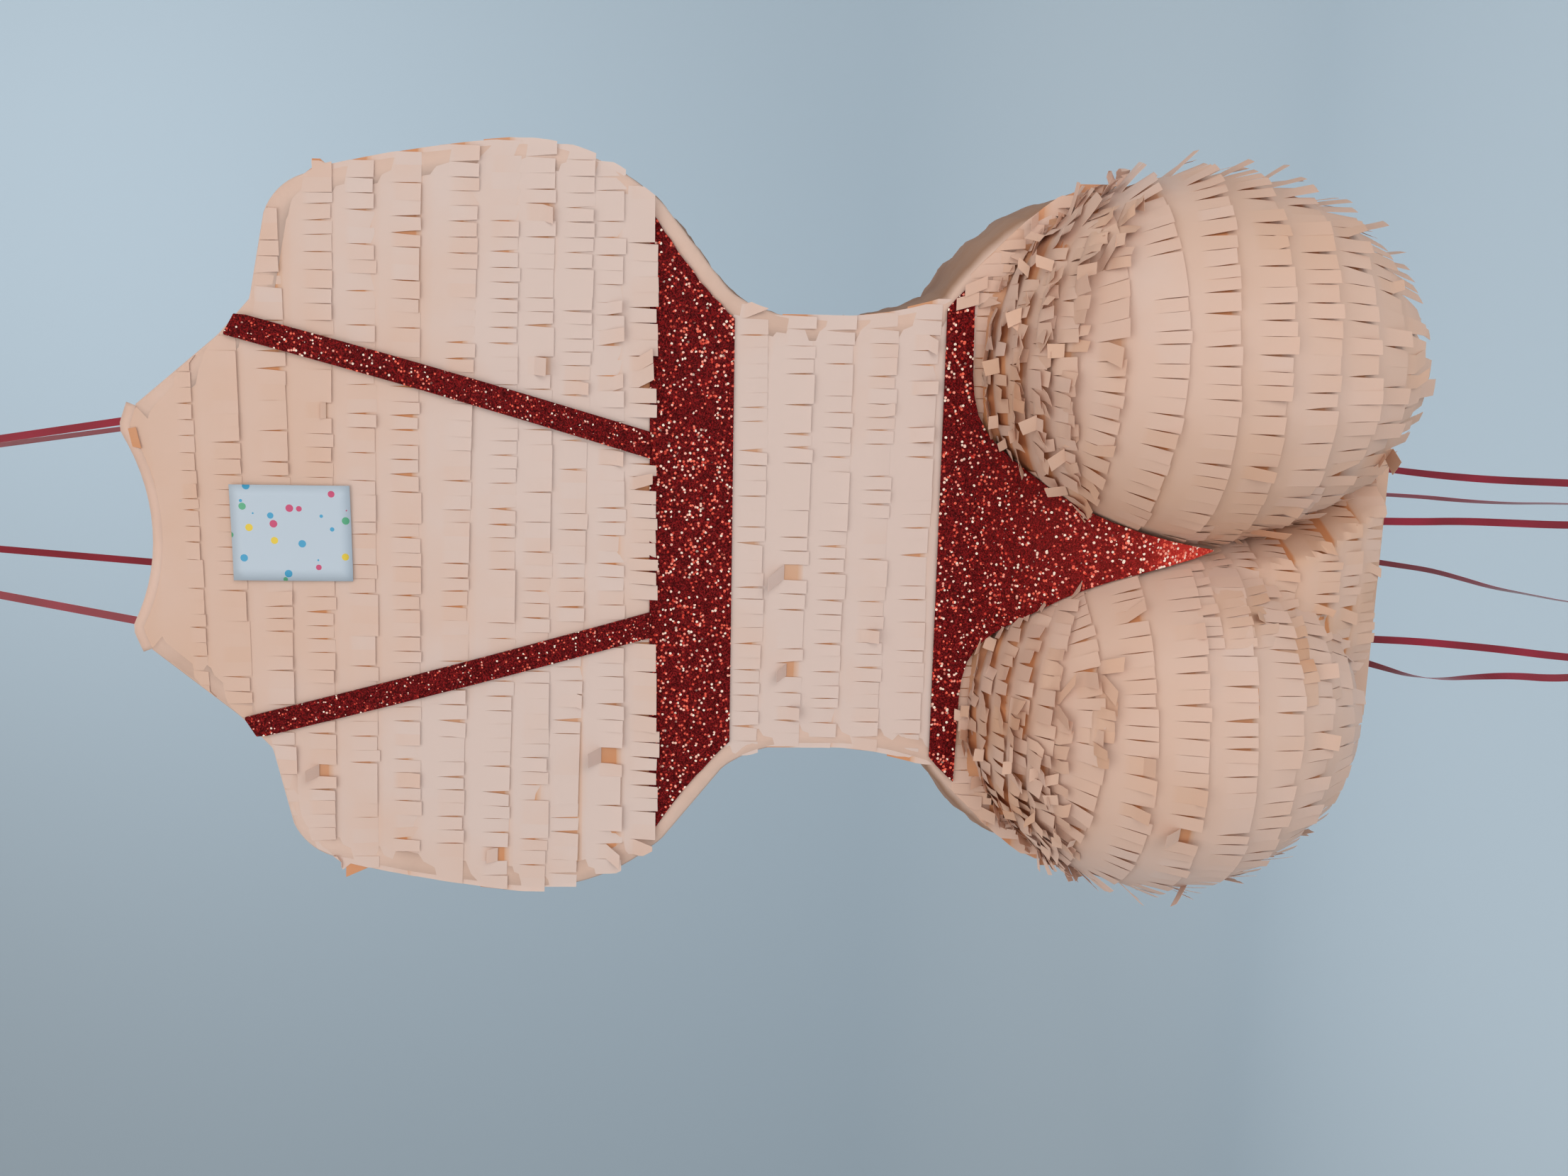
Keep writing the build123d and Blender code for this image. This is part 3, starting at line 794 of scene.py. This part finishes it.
DRAPE_X = np.arange(-250.0, 250.1, 2.0)
DRAPE_Z = np.arange(-112.0, -400.0, -0.5)
DRAPE_Y = hip_depth(*np.meshgrid(DRAPE_X, DRAPE_Z, indexing="ij"))
DRAPE_ARC = np.cumsum(np.hypot(np.diff(DRAPE_Y, axis=1, prepend=DRAPE_Y[:, :1]), 0.5), axis=1)


def drape_row(fringe, starts, pitch, look, low=-240.0, high=240.0, tab=TAB):
    """A row over the draped surface; starts gives, at each of DRAPE_X, how far down the surface it begins."""
    foot_z = np.array([np.interp(a + pitch, arc, DRAPE_Z) for a, arc in zip(starts, DRAPE_ARC)])
    foot_y = hip_depth(DRAPE_X, foot_z)
    along = running(np.sqrt(np.diff(DRAPE_X) ** 2 + np.diff(foot_y) ** 2 + np.diff(foot_z) ** 2))

    def place(s, h, lift):
        x = np.interp(s, along, DRAPE_X)
        first = np.clip(((x - DRAPE_X[0]) / 2.0).astype(int), 0, len(DRAPE_X) - 2)
        part = (x - DRAPE_X[first]) / 2.0
        z = np.empty(len(x))
        for k, (i, share, down) in enumerate(zip(first, part, h)):
            above = np.interp(starts[i] + down, DRAPE_ARC[i], DRAPE_Z)
            beside = np.interp(starts[i + 1] + down, DRAPE_ARC[i + 1], DRAPE_Z)
            z[k] = above * (1 - share) + beside * share
        y = hip_depth(x, z)
        slope_x = (hip_depth(x + 1, z) - hip_depth(x - 1, z)) / 2
        slope_z = (hip_depth(x, z + 1) - hip_depth(x, z - 1)) / 2
        normal = unit(np.stack([-slope_x, -np.ones(len(x)), -slope_z], 1))
        points = np.stack([x, FRONT - y, z], 1) + normal * np.asarray(lift)[:, None]
        overhang = np.interp(points[:, 2], (-185.0, -125.0), (13.0, 0.5))
        points[:, 0] = keep_inside(points[:, 0], points[:, 2], overhang)[0]
        points[:, 1] = np.minimum(points[:, 1], FRONT - 0.15)
        return points

    def foot_at(s):
        return np.interp(s, along, DRAPE_X), np.interp(s, along, foot_z)

    def flare(s):
        x, z = foot_at(s)
        end = np.clip(1 - (half_width(z) + 4 - abs(x)) / 14.0, 0, 1)
        return 40.0 * float(end) * float(np.interp(z, (-170.0, -130.0), (1.0, 0.1)))

    def pressed(s):
        x, z = foot_at(s)
        return bool(in_thong(x, z + 4))

    def tone(s):
        x, z = foot_at(s)
        # painted shade: random warmer patches for the shaded hollows among the rows
        return max(0.0, ripple(x, 5.0, z, 30.0, 0.9))

    edges = fringe.edges(*np.interp([low, high], DRAPE_X, along), tab)
    at = np.interp(edges, along, DRAPE_X)
    edges = edges[np.abs(at) < half_width(np.interp(edges, along, foot_z)) + 5.0]
    fringe.row(place, edges, pitch, dict(look, flare=flare, pressed=pressed, tone=tone))


hips = Fringe(13)
# shade tints the draped rows deeper: painted shade on the domes' tops, between the domes and in the crumpled
# scraps
HIP_LOOK = dict(BASE, slit=13.5, shade=0.14, shut=0.15, open=0.35)
HIP_LOOK.update(mess=0.38, angle=5.0, spread=6.5, ripple=1.1, pale=0.1)
SMOOTH_LOOK = dict(HIP_LOOK, pale=0.35, shade=0.0, mess=0.05, angle=1.0, spread=1.5, ripple=0.2, over=9.0)
CRUMPLE_LOOK = dict(HIP_LOOK, pale=0.0, shade=0.22, slit=11.0, lift=1.3)
CRUMPLE_LOOK.update(mess=0.85, angle=8.0, spread=11.0, ripple=1.5)
BRIDGE_LOOK = dict(HIP_LOOK, pale=0.0, mess=0.14, angle=2.0, spread=3.0, ripple=0.5, lift=0.9)
HIP_PITCH, SCRAP_PITCH = 17.5, 14.0
HIP_FEET = (101, 83, 65, 48, 31, 14)  # length down the surface to each row's foot
# torn, crumpled scraps on the domes' tops: length down the surface to the foot, and from which x to which
SCRAPS = ((68, 70, 150), (86, 55, 170), (103, 45, 110), (108, 120, 200), (124, 165, 205))
SCRAPS += ((80, -170, -90), (96, -205, -110), (112, -190, -80), (136, -120, -60))
BRIDGE_TIPS = (-378, -360, -340, -314, -292, -272, -253, -234)
# single tabs that lie on the thong's arms: x and z of their fixed corner, and their lean
STRAYS = ((143.0, -103.0, 4.0), (151.0, -108.0, 6.0), (-118.0, -113.0, -5.0), (-126.0, -116.0, 3.0))
STRAY_W, STRAY_H = 7.5, 14

for foot in HIP_FEET:
    hip_look = SMOOTH_LOOK if foot == HIP_FEET[-1] else HIP_LOOK  # the top row comes out under the thong
    drape_row(hips, np.full(len(DRAPE_X), foot - HIP_PITCH), HIP_PITCH, hip_look, tab=8.4)
for foot, low, high in SCRAPS:
    drape_row(hips, np.full(len(DRAPE_X), foot - SCRAP_PITCH), SCRAP_PITCH, CRUMPLE_LOOK, low, high, tab=8.0)
for tip, above in zip(BRIDGE_TIPS, BRIDGE_TIPS[1:]):
    level = np.array([np.interp(-above, -DRAPE_Z, arc) for arc in DRAPE_ARC])
    reach = (-84.0, 46.0) if tip < -300 else (-50.0, 20.0)
    drape_row(hips, level, above - tip, BRIDGE_LOOK, *reach, tab=7.0)
flat_rows(hips, [-324.0, -343.0, -361.0], 18.0, -1, dict(BRIDGE_LOOK, slit=12.0, over=0.0), tab=7.5)
for x, z, lean in STRAYS:
    fixed = [(x + dx, FRONT - 4.9, z) for dx in (0.0, STRAY_W)]
    free = [(x + dx + lean, FRONT - 3.4, z - STRAY_H) for dx in (0.0, STRAY_W)]
    corner = hips.add_points(fixed + free, 0.1)
    hips.faces.append((corner, corner + 1, corner + 3, corner + 2))
hips.backing(flat_place(FOOT, -1, overhang=-1.0), -112, 112, -20.0, -0.5)
hips.backing(flat_place(FOOT, -1, overhang=1.0), -114, 114, -9.0, 0.5, 1.2, 0.35)
hips.build("hip_fringe", SHELL, "crepe_hip_front")

# ---- back, with the fill hatch ----
HATCH_HALF, HATCH_LOW, HATCH_TOP = 50.0, 180.0, 260.0
HATCH_GAP = 1.6
BACK_PITCH = (HATCH_TOP - HATCH_LOW) / 3
BACK_TOPS = [HATCH_TOP + BACK_PITCH * k for k in range(-23, 6)]


def on_hatch_row(top):
    """Says whether the row with this top crosses the hatch."""
    return HATCH_LOW + 5 < top < HATCH_TOP + 5


def around_hatch(top, edges):
    """Leaves the hatch's stretch out of a row of the back panel."""
    if not on_hatch_row(top):
        return [edges]
    return [
        np.append(edges[edges < -HATCH_HALF - 3], -HATCH_HALF - 0.5),
        np.insert(edges[edges > HATCH_HALF + 3], 0, HATCH_HALF + 0.5),
    ]


BACK_LOOK = dict(BASE, lift=1.0)
back = Fringe(31)
flat_rows(back, BACK_TOPS, BACK_PITCH, 1, BACK_LOOK, skip=around_hatch)
back.backing(flat_place(FOOT, 1, overhang=-1.0), -112, 112, -16.0, 0.0, 0.2, 0.2)
back.build("back_fringe", SHELL, "crepe_back_rows")

HATCH_LOOK = dict(BACK_LOOK, over=0.5, mess=0.0, lift=0.5, ripple=0.05)
hatch = Fringe(32)
for hatch_top in [t for t in BACK_TOPS if on_hatch_row(t)]:
    at_crease = hatch_top > HATCH_TOP - 5  # that row starts a little under it
    gap, tuck = (5.0, 0.2) if at_crease else (0.0, 19.0)
    hatch_edges = hatch.edges(-HATCH_HALF + HATCH_GAP, HATCH_HALF - HATCH_GAP)
    hatch.row(flat_place(hatch_top - gap, 1), hatch_edges, BACK_PITCH - gap, dict(HATCH_LOOK, tuck=tuck))
hatch.build("hatch_fringe", HATCH, "hatch_crepe")


# ---- smooth crepe over the sides, the neck and the underside ----
def resample(line, step):
    """Points at even steps along a polyline."""
    lengths = running(np.hypot(*np.diff(line, axis=0).T))
    at = np.linspace(0, lengths[-1], max(2, int(lengths[-1] / step)))
    return np.stack([np.interp(at, lengths, line[:, 0]), np.interp(at, lengths, line[:, 1])], 1)


def wrap(name, line, node, seed, step, fold=13.0):
    """Crepe bent over the box's edge: it follows the outline and folds onto both panels."""
    line = resample(line, step)
    tangent = unit(np.gradient(line, axis=0))
    out = np.stack([-tangent[:, 1], tangent[:, 0]], 1)
    middle = line.mean(0)
    if np.mean(np.sum(out * (line - [0, middle[1]]), 1)) < 0:
        out = -out
    section = [(-fold, FRONT - 0.35), (-fold * 0.4, FRONT - 0.5), (-0.5, FRONT - 0.6), (0.9, FRONT + 0.6)]
    section += [(1.0, y) for y in np.linspace(FRONT + 6, BACK - 6, 17)]
    section += [(0.9, BACK - 0.6), (-0.5, BACK + 0.6), (-fold * 0.4, BACK + 0.5), (-fold, BACK + 0.35)]
    shift = np.random.default_rng(seed).uniform(0, 50)
    verts = []
    for (x, z), (nx, nz) in zip(line, out):
        hip = math.exp(-(((z + 135.0) / 55.0) ** 2)) * 9.0  # the crepe stands off the box's hips
        for off, y in section:
            inside = max(0.0, 1 - (y / BACK) ** 2)
            crease = ripple(x + shift, y * 0.25, z * 1.6, 14.0, 2.6) + ripple(x, y * 0.5, z + shift, 5.0, 0.8)
            reach = off + (inside**0.5 * (crease + hip + 0.8) if off > 0.95 else 0.0)
            verts.append((x + nx * reach, y, z + nz * reach))
    made = smooth_mesh(name, verts, grid_faces(len(line), len(section)), CREPE_SIDE_SHADED)
    # painted shade: the crepe on the box's sides gets a deep tint, the folds onto the lit panels none
    write_attribute(made, "tint", [0.0 if abs(y) > 57.0 else 0.8 for _ in line for _, y in section])
    turn_faces(made)
    thicken(made, 0.3, 0.0)
    settle(made, SHELL, node)


side_line = SIDE[::-1]
SIDES = (("left", -1), ("right", 1))
for side_name, sign in SIDES:
    wrap(f"side_wrap_{side_name}", side_line * [sign, 1], f"crepe_side_{side_name}", 40 + sign, step=4.0)
neck_line = np.vstack([NECK[::-1] * [-1, 1], NECK[1:]])
wrap("neck_wrap", neck_line, "crepe_neck", 43, step=3.0, fold=6.0)


def evenly(low, high, step):
    """Values from low to high, about a step apart."""
    return np.arange(low, high + 0.1, (high - low) / round((high - low) / step))


def underside(name, x_range, y_range, body, node, hole=None):
    """Nearly flat crepe under the box; hole is a half width in x, and two limits in y."""
    xs, ys = evenly(*x_range, 5), evenly(*y_range, 4)
    if hole:
        xs = np.unique(np.concatenate([xs[np.abs(np.abs(xs) - hole[0]) > 2], [-hole[0], hole[0]]]))
        ys = np.unique(np.concatenate([ys[np.minimum(abs(ys - hole[1]), abs(ys - hole[2])) > 1.6], hole[1:]]))
    verts = [(x, y, FOOT - 0.5 + ripple(x * 0.4, y, 3.0, 12.0, 0.35)) for y in ys for x in xs]
    faces = []
    for face in grid_faces(len(ys), len(xs)):
        cx, cy, _ = np.mean([verts[i] for i in face], axis=0)
        if not (hole and abs(cx) < hole[0] and hole[1] < cy < hole[2]):
            faces.append(face)
    made = smooth_mesh(name, verts, faces, CREPE)
    thicken(made, 0.4, 0.0)
    settle(made, body, node)


FOOT_HALF = 115.0
DOOR_HOLE = (45.0, -38.0, 43.2)  # longer than the door at its rear, which swings there
underside("bottom_wrap", (-FOOT_HALF, FOOT_HALF), (FRONT, BACK), SHELL, "crepe_bottom", DOOR_HOLE)
underside("door_wrap", (-44.4, 44.4), (-37.4, 34.0), DOOR, "door_crepe")


# ---- glitter foam ----
FOAM = 2.0
NO_PAINTED_GLINTS = ((0, 1), (0.0, 0.0))
TIP_PAINTED_GLINTS = ((-265, -238, -215, -120), (0.62, 0.46, 0.10, 0.0))  # by height: the thong's tip gets a painted highlight and more painted glints


def finish_foam(name, verts, columns, node, painted_glints):
    """Foam from a grid of vertices; the last argument gives, at some heights, how many painted glints show
    and how far the base is painted brighter.
    """
    made = smooth_mesh(name, verts, grid_faces(len(verts) // columns, columns), GLITTER)
    turn_faces(made, merge=1e-5)
    write_attribute(made, "painted_glint", np.interp(from_row(made.data)[:, 2], *painted_glints))
    thicken(made, FOAM, 0.0)
    made.data.set_sharp_from_angle(angle=math.radians(50))
    settle(made, SHELL, node)


def foam_sheet(name, rows, node):
    """A foam sheet from rows of (left x, right x, z, y), cut clean."""
    verts, columns = [], 25
    for left, right, z, y in rows:
        for c in range(columns):
            x = left + (right - left) * c / (columns - 1)
            verts.append((x, y + ripple(x, 0, z, 60.0, 0.25), z))
    finish_foam(name, verts, columns, node, NO_PAINTED_GLINTS)


def band_rows():
    """The back band: wide at its top, with its ends cut slanting and slightly hollow."""
    rng = np.random.default_rng(51)
    foot_half, slant, hollow = 135, 63, 9
    for z in np.linspace(BAND_TOP + 1, BAND_FOOT, 13):
        t = (min(z, BAND_TOP) - BAND_FOOT) / (BAND_TOP - BAND_FOOT)
        half = foot_half + slant * t - hollow * math.sin(math.pi * t) * 0.45
        yield -half - rng.normal(0, 0.4), half + rng.normal(0, 0.4), z, FRONT - 1.2


foam_sheet("glitter_band", band_rows(), "back_band")


def strap_rows(sign):
    """A strap, from the band up to the shoulder, its outer corner cut along the shoulder's slope."""
    top, cut_x, cut_z, slope = 341.0, 133.0, 334.0, 1.7
    for z in np.linspace(STRAP_FOOT[1] + 0.5, top, 40):
        t = (z - STRAP_FOOT[1]) / (STRAP_TOP[1] - STRAP_FOOT[1])
        middle = STRAP_FOOT[0] + (STRAP_TOP[0] - STRAP_FOOT[0]) * t + 1.2 * math.sin(math.pi * t)
        half = STRAP_HALF + 0.3 - 0.6 * t
        outer = min(middle + half, cut_x + (cut_z - z) * slope if z > cut_z else 1e3)
        left, right = sorted((sign * (middle - half), sign * max(outer, middle - half + 1)))
        yield left, right, z, FRONT - 3.2


for side_name, sign in SIDES:
    foam_sheet(f"glitter_strap_{side_name}", strap_rows(sign), f"strap_{side_name}")


def make_thong():
    """The thong's sheet: flat on the panel at its arms, riding out over the domes' inner slopes."""
    verts, columns = [], 41
    for z, half in THONG_EDGE:
        for c in range(columns):
            x = (2 * c / (columns - 1) - 1) * half
            verts.append((x, FRONT - float(thong_lift(x, z)) - ripple(x, 0, z, 40.0, 0.4), z))
    finish_foam("glitter_thong", verts, columns, "thong_panel", TIP_PAINTED_GLINTS)


make_thong()


# ---- label card ----
def make_label():
    """The card, slightly bent, on top of the crepe."""
    columns, rows = 9, 11
    verts = []
    for r in range(rows):
        for c in range(columns):
            u, v = c / (columns - 1) - 0.5, r / (rows - 1) - 0.5
            lift = 2.9 + 2.0 * u * u + 1.2 * v
            verts.append((CARD_AT[0] + u * CARD_W, FRONT - lift, CARD_AT[1] + v * CARD_H))
    made = smooth_mesh("confetti_card", verts, grid_faces(rows, columns), LABEL)
    thicken(made, 0.35, 0.0)
    settle(made, SHELL, "label_card")


make_label()

# ---- ribbons ----
RIBBON_W, RIBBON_T = 5.0, 0.3


def spline_points(name, route):
    """Points along the smooth curve whose control points are the route's, in waist-level millimetres."""
    data = bpy.data.curves.new(name, "CURVE")
    data.dimensions = "3D"
    data.resolution_u = 10
    spline = data.splines.new("NURBS")
    spline.points.add(len(route) - 1)
    for point, place in zip(spline.points, to_row(route)):
        point.co = (*place, 1.0)
    spline.order_u = 3
    spline.use_endpoint_u = True
    curve = add_object(name, data)
    line = bpy.data.meshes.new_from_object(curve.evaluated_get(bpy.context.evaluated_depsgraph_get()))
    bpy.data.objects.remove(curve)
    return from_row(line)


def band_mesh(name, points, turns, width=RIBBON_W):
    """A flat ribbon along points; turns gives its facing in degrees at even steps, 0 facing the viewer."""
    tangent = unit(np.gradient(points, axis=0))
    length = running(np.linalg.norm(np.diff(points, axis=0), axis=1))
    facing = np.interp(length / length[-1], np.linspace(0, 1, len(turns)), turns)
    verts = []
    for point, along, angle in zip(points, tangent, np.radians(facing)):
        side = unit(np.cross(along, (0.0, -1.0, 0.0)))
        other = np.cross(along, side)
        across = side * math.cos(angle) + other * math.sin(angle)
        normal = np.cross(along, across)
        for u, v in ((-1, -1), (1, -1), (1, 1), (-1, 1)):
            verts.append(point + across * u * width / 2 + normal * v * RIBBON_T / 2)
    faces = []
    for k in range(len(points) - 1):
        for c in range(4):
            d = (c + 1) % 4
            faces.append((4 * k + c, 4 * k + d, 4 * k + 4 + d, 4 * k + 4 + c))
    last = 4 * (len(points) - 1)
    faces += [(3, 2, 1, 0), (last, last + 1, last + 2, last + 3)]
    return smooth_mesh(name, verts, faces, RIBBON, smooth=False)


def cord_ribbon(name, route, turns, body, node):
    """A free ribbon along the smooth curve through its route."""
    points = spline_points(name, route)
    made = band_mesh(name, points, turns)
    settle(made, body, node)
    tuple(to_row(points[0])[0])
    to_row(points).tolist()


PAD_FOOT = -389.5  # where the decoys leave the box
DECOY_Y = -47.0
# each decoy's route as x and z, and its facing at even steps
DECOYS = {
    "decoy_ribbon_1": (
        [(-81, PAD_FOOT), (-85, -404), (-91, -424), (-93, -446), (-91, -470)]
        + [(-90, -496), (-92, -524), (-89, -560), (-90, -606)],
        [25, 60, 95, 130, 150, 160, 170, 150],
    ),
    "decoy_ribbon_2": (
        [(-65.5, PAD_FOOT), (-66.5, -420), (-69, -452), (-72, -486), (-76, -520), (-79, -560), (-78, -606)],
        [8, 5, 0, -5, 5],
    ),
    "decoy_ribbon_3": (
        [(-13, PAD_FOOT), (-15.5, -408), (-18.5, -430), (-24, -452), (-30, -474)]
        + [(-34, -498), (-39, -526), (-42, -560), (-42.5, -606)],
        [40, 48, 60, 75, 78, 70, 60],
    ),
    "decoy_ribbon_4": (
        [(31.5, PAD_FOOT), (30.5, -416), (28, -446), (26.6, -478), (27.2, -512), (25.8, -560), (25, -606)],
        [60, 58, 68, 74, 66, 60],
    ),
    "decoy_ribbon_5": (
        [(48.5, PAD_FOOT), (46, -412), (43.6, -440), (41.9, -470), (41, -508), (39.5, -560), (39, -606)],
        [38, 20, 10, 0, 5],
    ),
}
PULL_Y = -36.6
PULL_ROUTE = [(12.4, -388.25), (12.2, -420), (13.2, -452), (12.4, -486)]
PULL_ROUTE += [(11.4, -520), (11.9, -560), (12.4, -606)]

for name, (route, turns) in DECOYS.items():
    path = [(x, DECOY_Y, z) for x, z in route]
    cord_ribbon(f"{name}_band", path, turns, SHELL, name)
pull_path = [(x, PULL_Y, z) for x, z in PULL_ROUTE]
cord_ribbon("pull_ribbon_band", pull_path, [0, 6, 0, -4, 0], PULL, "pull_ribbon")

# hanging ribbons: where each leaves its hole in the neck, its end's x and y at the top knot, and its facing
NECK_EXITS = {
    "front_left": ((-62.2, -49.0, 401.6), (-2.8, -1.5), [12, 10, 8]),
    "front_right": ((67.3, -49.0, 400.35), (2.8, -1.5), [25, 20, 10]),
    "back_left": ((-43.5, 49.0, 393.2), (-2.8, 1.5), [30, 38, 20]),
    "back_right": ((61.0, 49.0, 400.9), (2.8, 1.5), [55, 50, 20]),
}
TOP_KNOT_DROP = 52.0
KNOT_LEVEL = WAIST_DROP - TOP_KNOT_DROP
INSIDE_LEAD = 9.0  # how far under the hole each ribbon starts, in its knot


def tube(name, points, radius, sides=10, closed=False):
    """A round tube along points, as a mesh."""
    count = len(points)
    if closed:
        tangent = unit(np.roll(points, -1, 0) - np.roll(points, 1, 0))
    else:
        tangent = unit(np.gradient(points, axis=0))
    side = unit(np.cross(tangent, (0.13, 0.97, 0.21)))
    other = np.cross(tangent, side)
    radii = np.broadcast_to(radius, (count,))
    verts = [
        points[k] + radii[k] * (side[k] * math.cos(a) + other[k] * math.sin(a))
        for k in range(count)
        for a in np.linspace(0, 2 * math.pi, sides, endpoint=False)
    ]
    rings = count if closed else count - 1
    faces = []
    for k in range(rings):
        ring, after = k * sides, (k + 1) % count * sides
        for c in range(sides):
            d = (c + 1) % sides
            faces.append((ring + c, ring + d, after + d, after + c))
    if not closed:
        faces += [tuple(range(sides - 1, -1, -1)), tuple(range((count - 1) * sides, count * sides))]
    return smooth_mesh(name, verts, faces, RIBBON)


def knot_points(centre, size, height):
    """An overhand knot: a trefoil, squeezed to size."""
    t = np.linspace(0, 2 * math.pi, 90, endpoint=False)
    x = (np.sin(t) + 2 * np.sin(2 * t)) / 3
    y = (np.cos(t) - 2 * np.cos(2 * t)) / 3
    z = -np.sin(3 * t)
    return np.stack([centre[0] + size * x, centre[1] + size * y, centre[2] + height * z], 1)


def make_top_knot():
    """The knot in which the four hanging ribbons end."""
    made = tube("top_knot", knot_points((0, 0, KNOT_LEVEL), size=4.9, height=4.2), radius=3.0, closed=True)
    settle(made, SHELL, "hanging_knot")
    return made


def make_loop():
    """The ribbons' loop over the knot: two bands side by side."""
    half = [(-2, -8), (-7, 8), (-13, 26), (-13, 44), (-9, 54)]
    route = half + [(0, 55)] + [(-x, z) for x, z in half[::-1]]
    points = spline_points("loop_line", [(x, 0, KNOT_LEVEL + z) for x, z in route])
    made = band_mesh("hanging_loop_bands", points, [90, 90], width=4.0)
    settle(made, SHELL, "hanging_loop")
    return made


top_knot = make_top_knot()
loop = make_loop()
inside_knots = []
for name, (leaves, (end_x, end_y), turns) in NECK_EXITS.items():
    leaves = np.array(leaves)
    end = np.array([end_x, end_y, KNOT_LEVEL - 4.0])
    along = (end - leaves) / np.linalg.norm(end - leaves)
    start = leaves - along * INSIDE_LEAD
    route = [start, start + (end - start) * 0.35, start + (end - start) * 0.7, end]
    node = f"hanging_ribbon_{name}"
    cord_ribbon(f"{node}_band", route, turns, SHELL, node)
    inside_knots.append(start)


def make_inside_knots():
    """The knots that keep the hanging ribbons in their holes, as one piece."""
    verts, faces = [], []
    for centre in inside_knots:
        made = tube("knot_part", knot_points(centre, 2.4, 2.0), radius=1.7, sides=8, closed=True)
        faces += [tuple(i + len(verts) for i in p.vertices) for p in made.data.polygons]
        verts += list(from_row(made.data))
        bpy.data.objects.remove(made)
    settle(smooth_mesh("inside_knots", verts, faces, RIBBON), SHELL, "hanger_knots")


make_inside_knots()


# ---- the CAD nodes that stay ----
def dress_cad_nodes():
    """Gives each CAD node that is still shown its material."""
    for name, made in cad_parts.items():
        if made.hide_render:
            continue
        material = MACHE if name.startswith("dome_") else RIBBON if "ribbon" in name else BOARD
        made.data.materials.clear()
        made.data.materials.append(material)


dress_cad_nodes()


# ---- stage and light ----
FLOOR_LEVEL = -2.2
WALL_Y = 3.2


def make_stage():
    """A pale floor that curves up into a wall far behind the pinata."""
    radius, half, top = 0.9, 7.0, 4.0
    profile = [(-7.0, FLOOR_LEVEL)]
    for k in range(13):
        a = math.radians(90 * k / 12)
        profile.append((WALL_Y - radius + radius * math.sin(a), FLOOR_LEVEL + radius - radius * math.cos(a)))
    profile.append((WALL_Y, top))
    verts = [(x, y, z) for y, z in profile for x in (-half, half)]
    mesh = bpy.data.meshes.new("backdrop")
    mesh.from_pydata(verts, [], grid_faces(len(profile), 2))
    mesh.polygons.foreach_set("use_smooth", [True] * len(mesh.polygons))
    material, shader, *_ = new_material("backdrop")
    fill(shader, Base_Color=(0.47, 0.57, 0.65, 1), Roughness=0.9)
    mesh.materials.append(material)
    add_object("backdrop", mesh)


MIDDLE, ON_WALL = (0, 0, -0.85), (0.2, WALL_Y, -0.9)
# each square light's place, the point it faces, its side in metres, its watts and its colour
LIGHTS = {
    "key": ((1.2, -2.2, -1.5), MIDDLE, 1.6, 25, (1.0, 0.95, 0.90)),
    "front": ((-0.7, -2.4, -0.5), MIDDLE, 2.6, 8, (0.97, 0.98, 1.0)),
    "top": ((0.0, -1.7, 0.5), MIDDLE, 1.8, 12, (1.0, 0.97, 0.94)),
    "rim": ((-0.6, 1.9, 0.3), MIDDLE, 1.6, 20, (1.0, 0.98, 0.95)),
    "wall": ((0.5, 1.0, 1.2), ON_WALL, 2.5, 34, (0.95, 0.98, 1.0)),
}


def light_scene():
    """Soft lights from the front and above, one from behind, one on the wall, and a dim even sky."""
    for name, (place, target, size, power, colour) in LIGHTS.items():
        data = bpy.data.lights.new(name, "AREA")
        data.size = size
        data.energy = power
        data.color = colour
        lamp = add_object(name, data)
        lamp.location = place
        lamp.rotation_euler = (Vector(target) - Vector(place)).to_track_quat("-Z", "Y").to_euler()
    world = bpy.data.worlds.new("world")
    world.use_nodes = True
    fill(world.node_tree.nodes["Background"], Color=(0.86, 0.83, 0.80, 1), Strength=0.56)
    bpy.context.scene.world = world
    bpy.context.scene.view_settings.view_transform = "Standard"


make_stage()
light_scene()
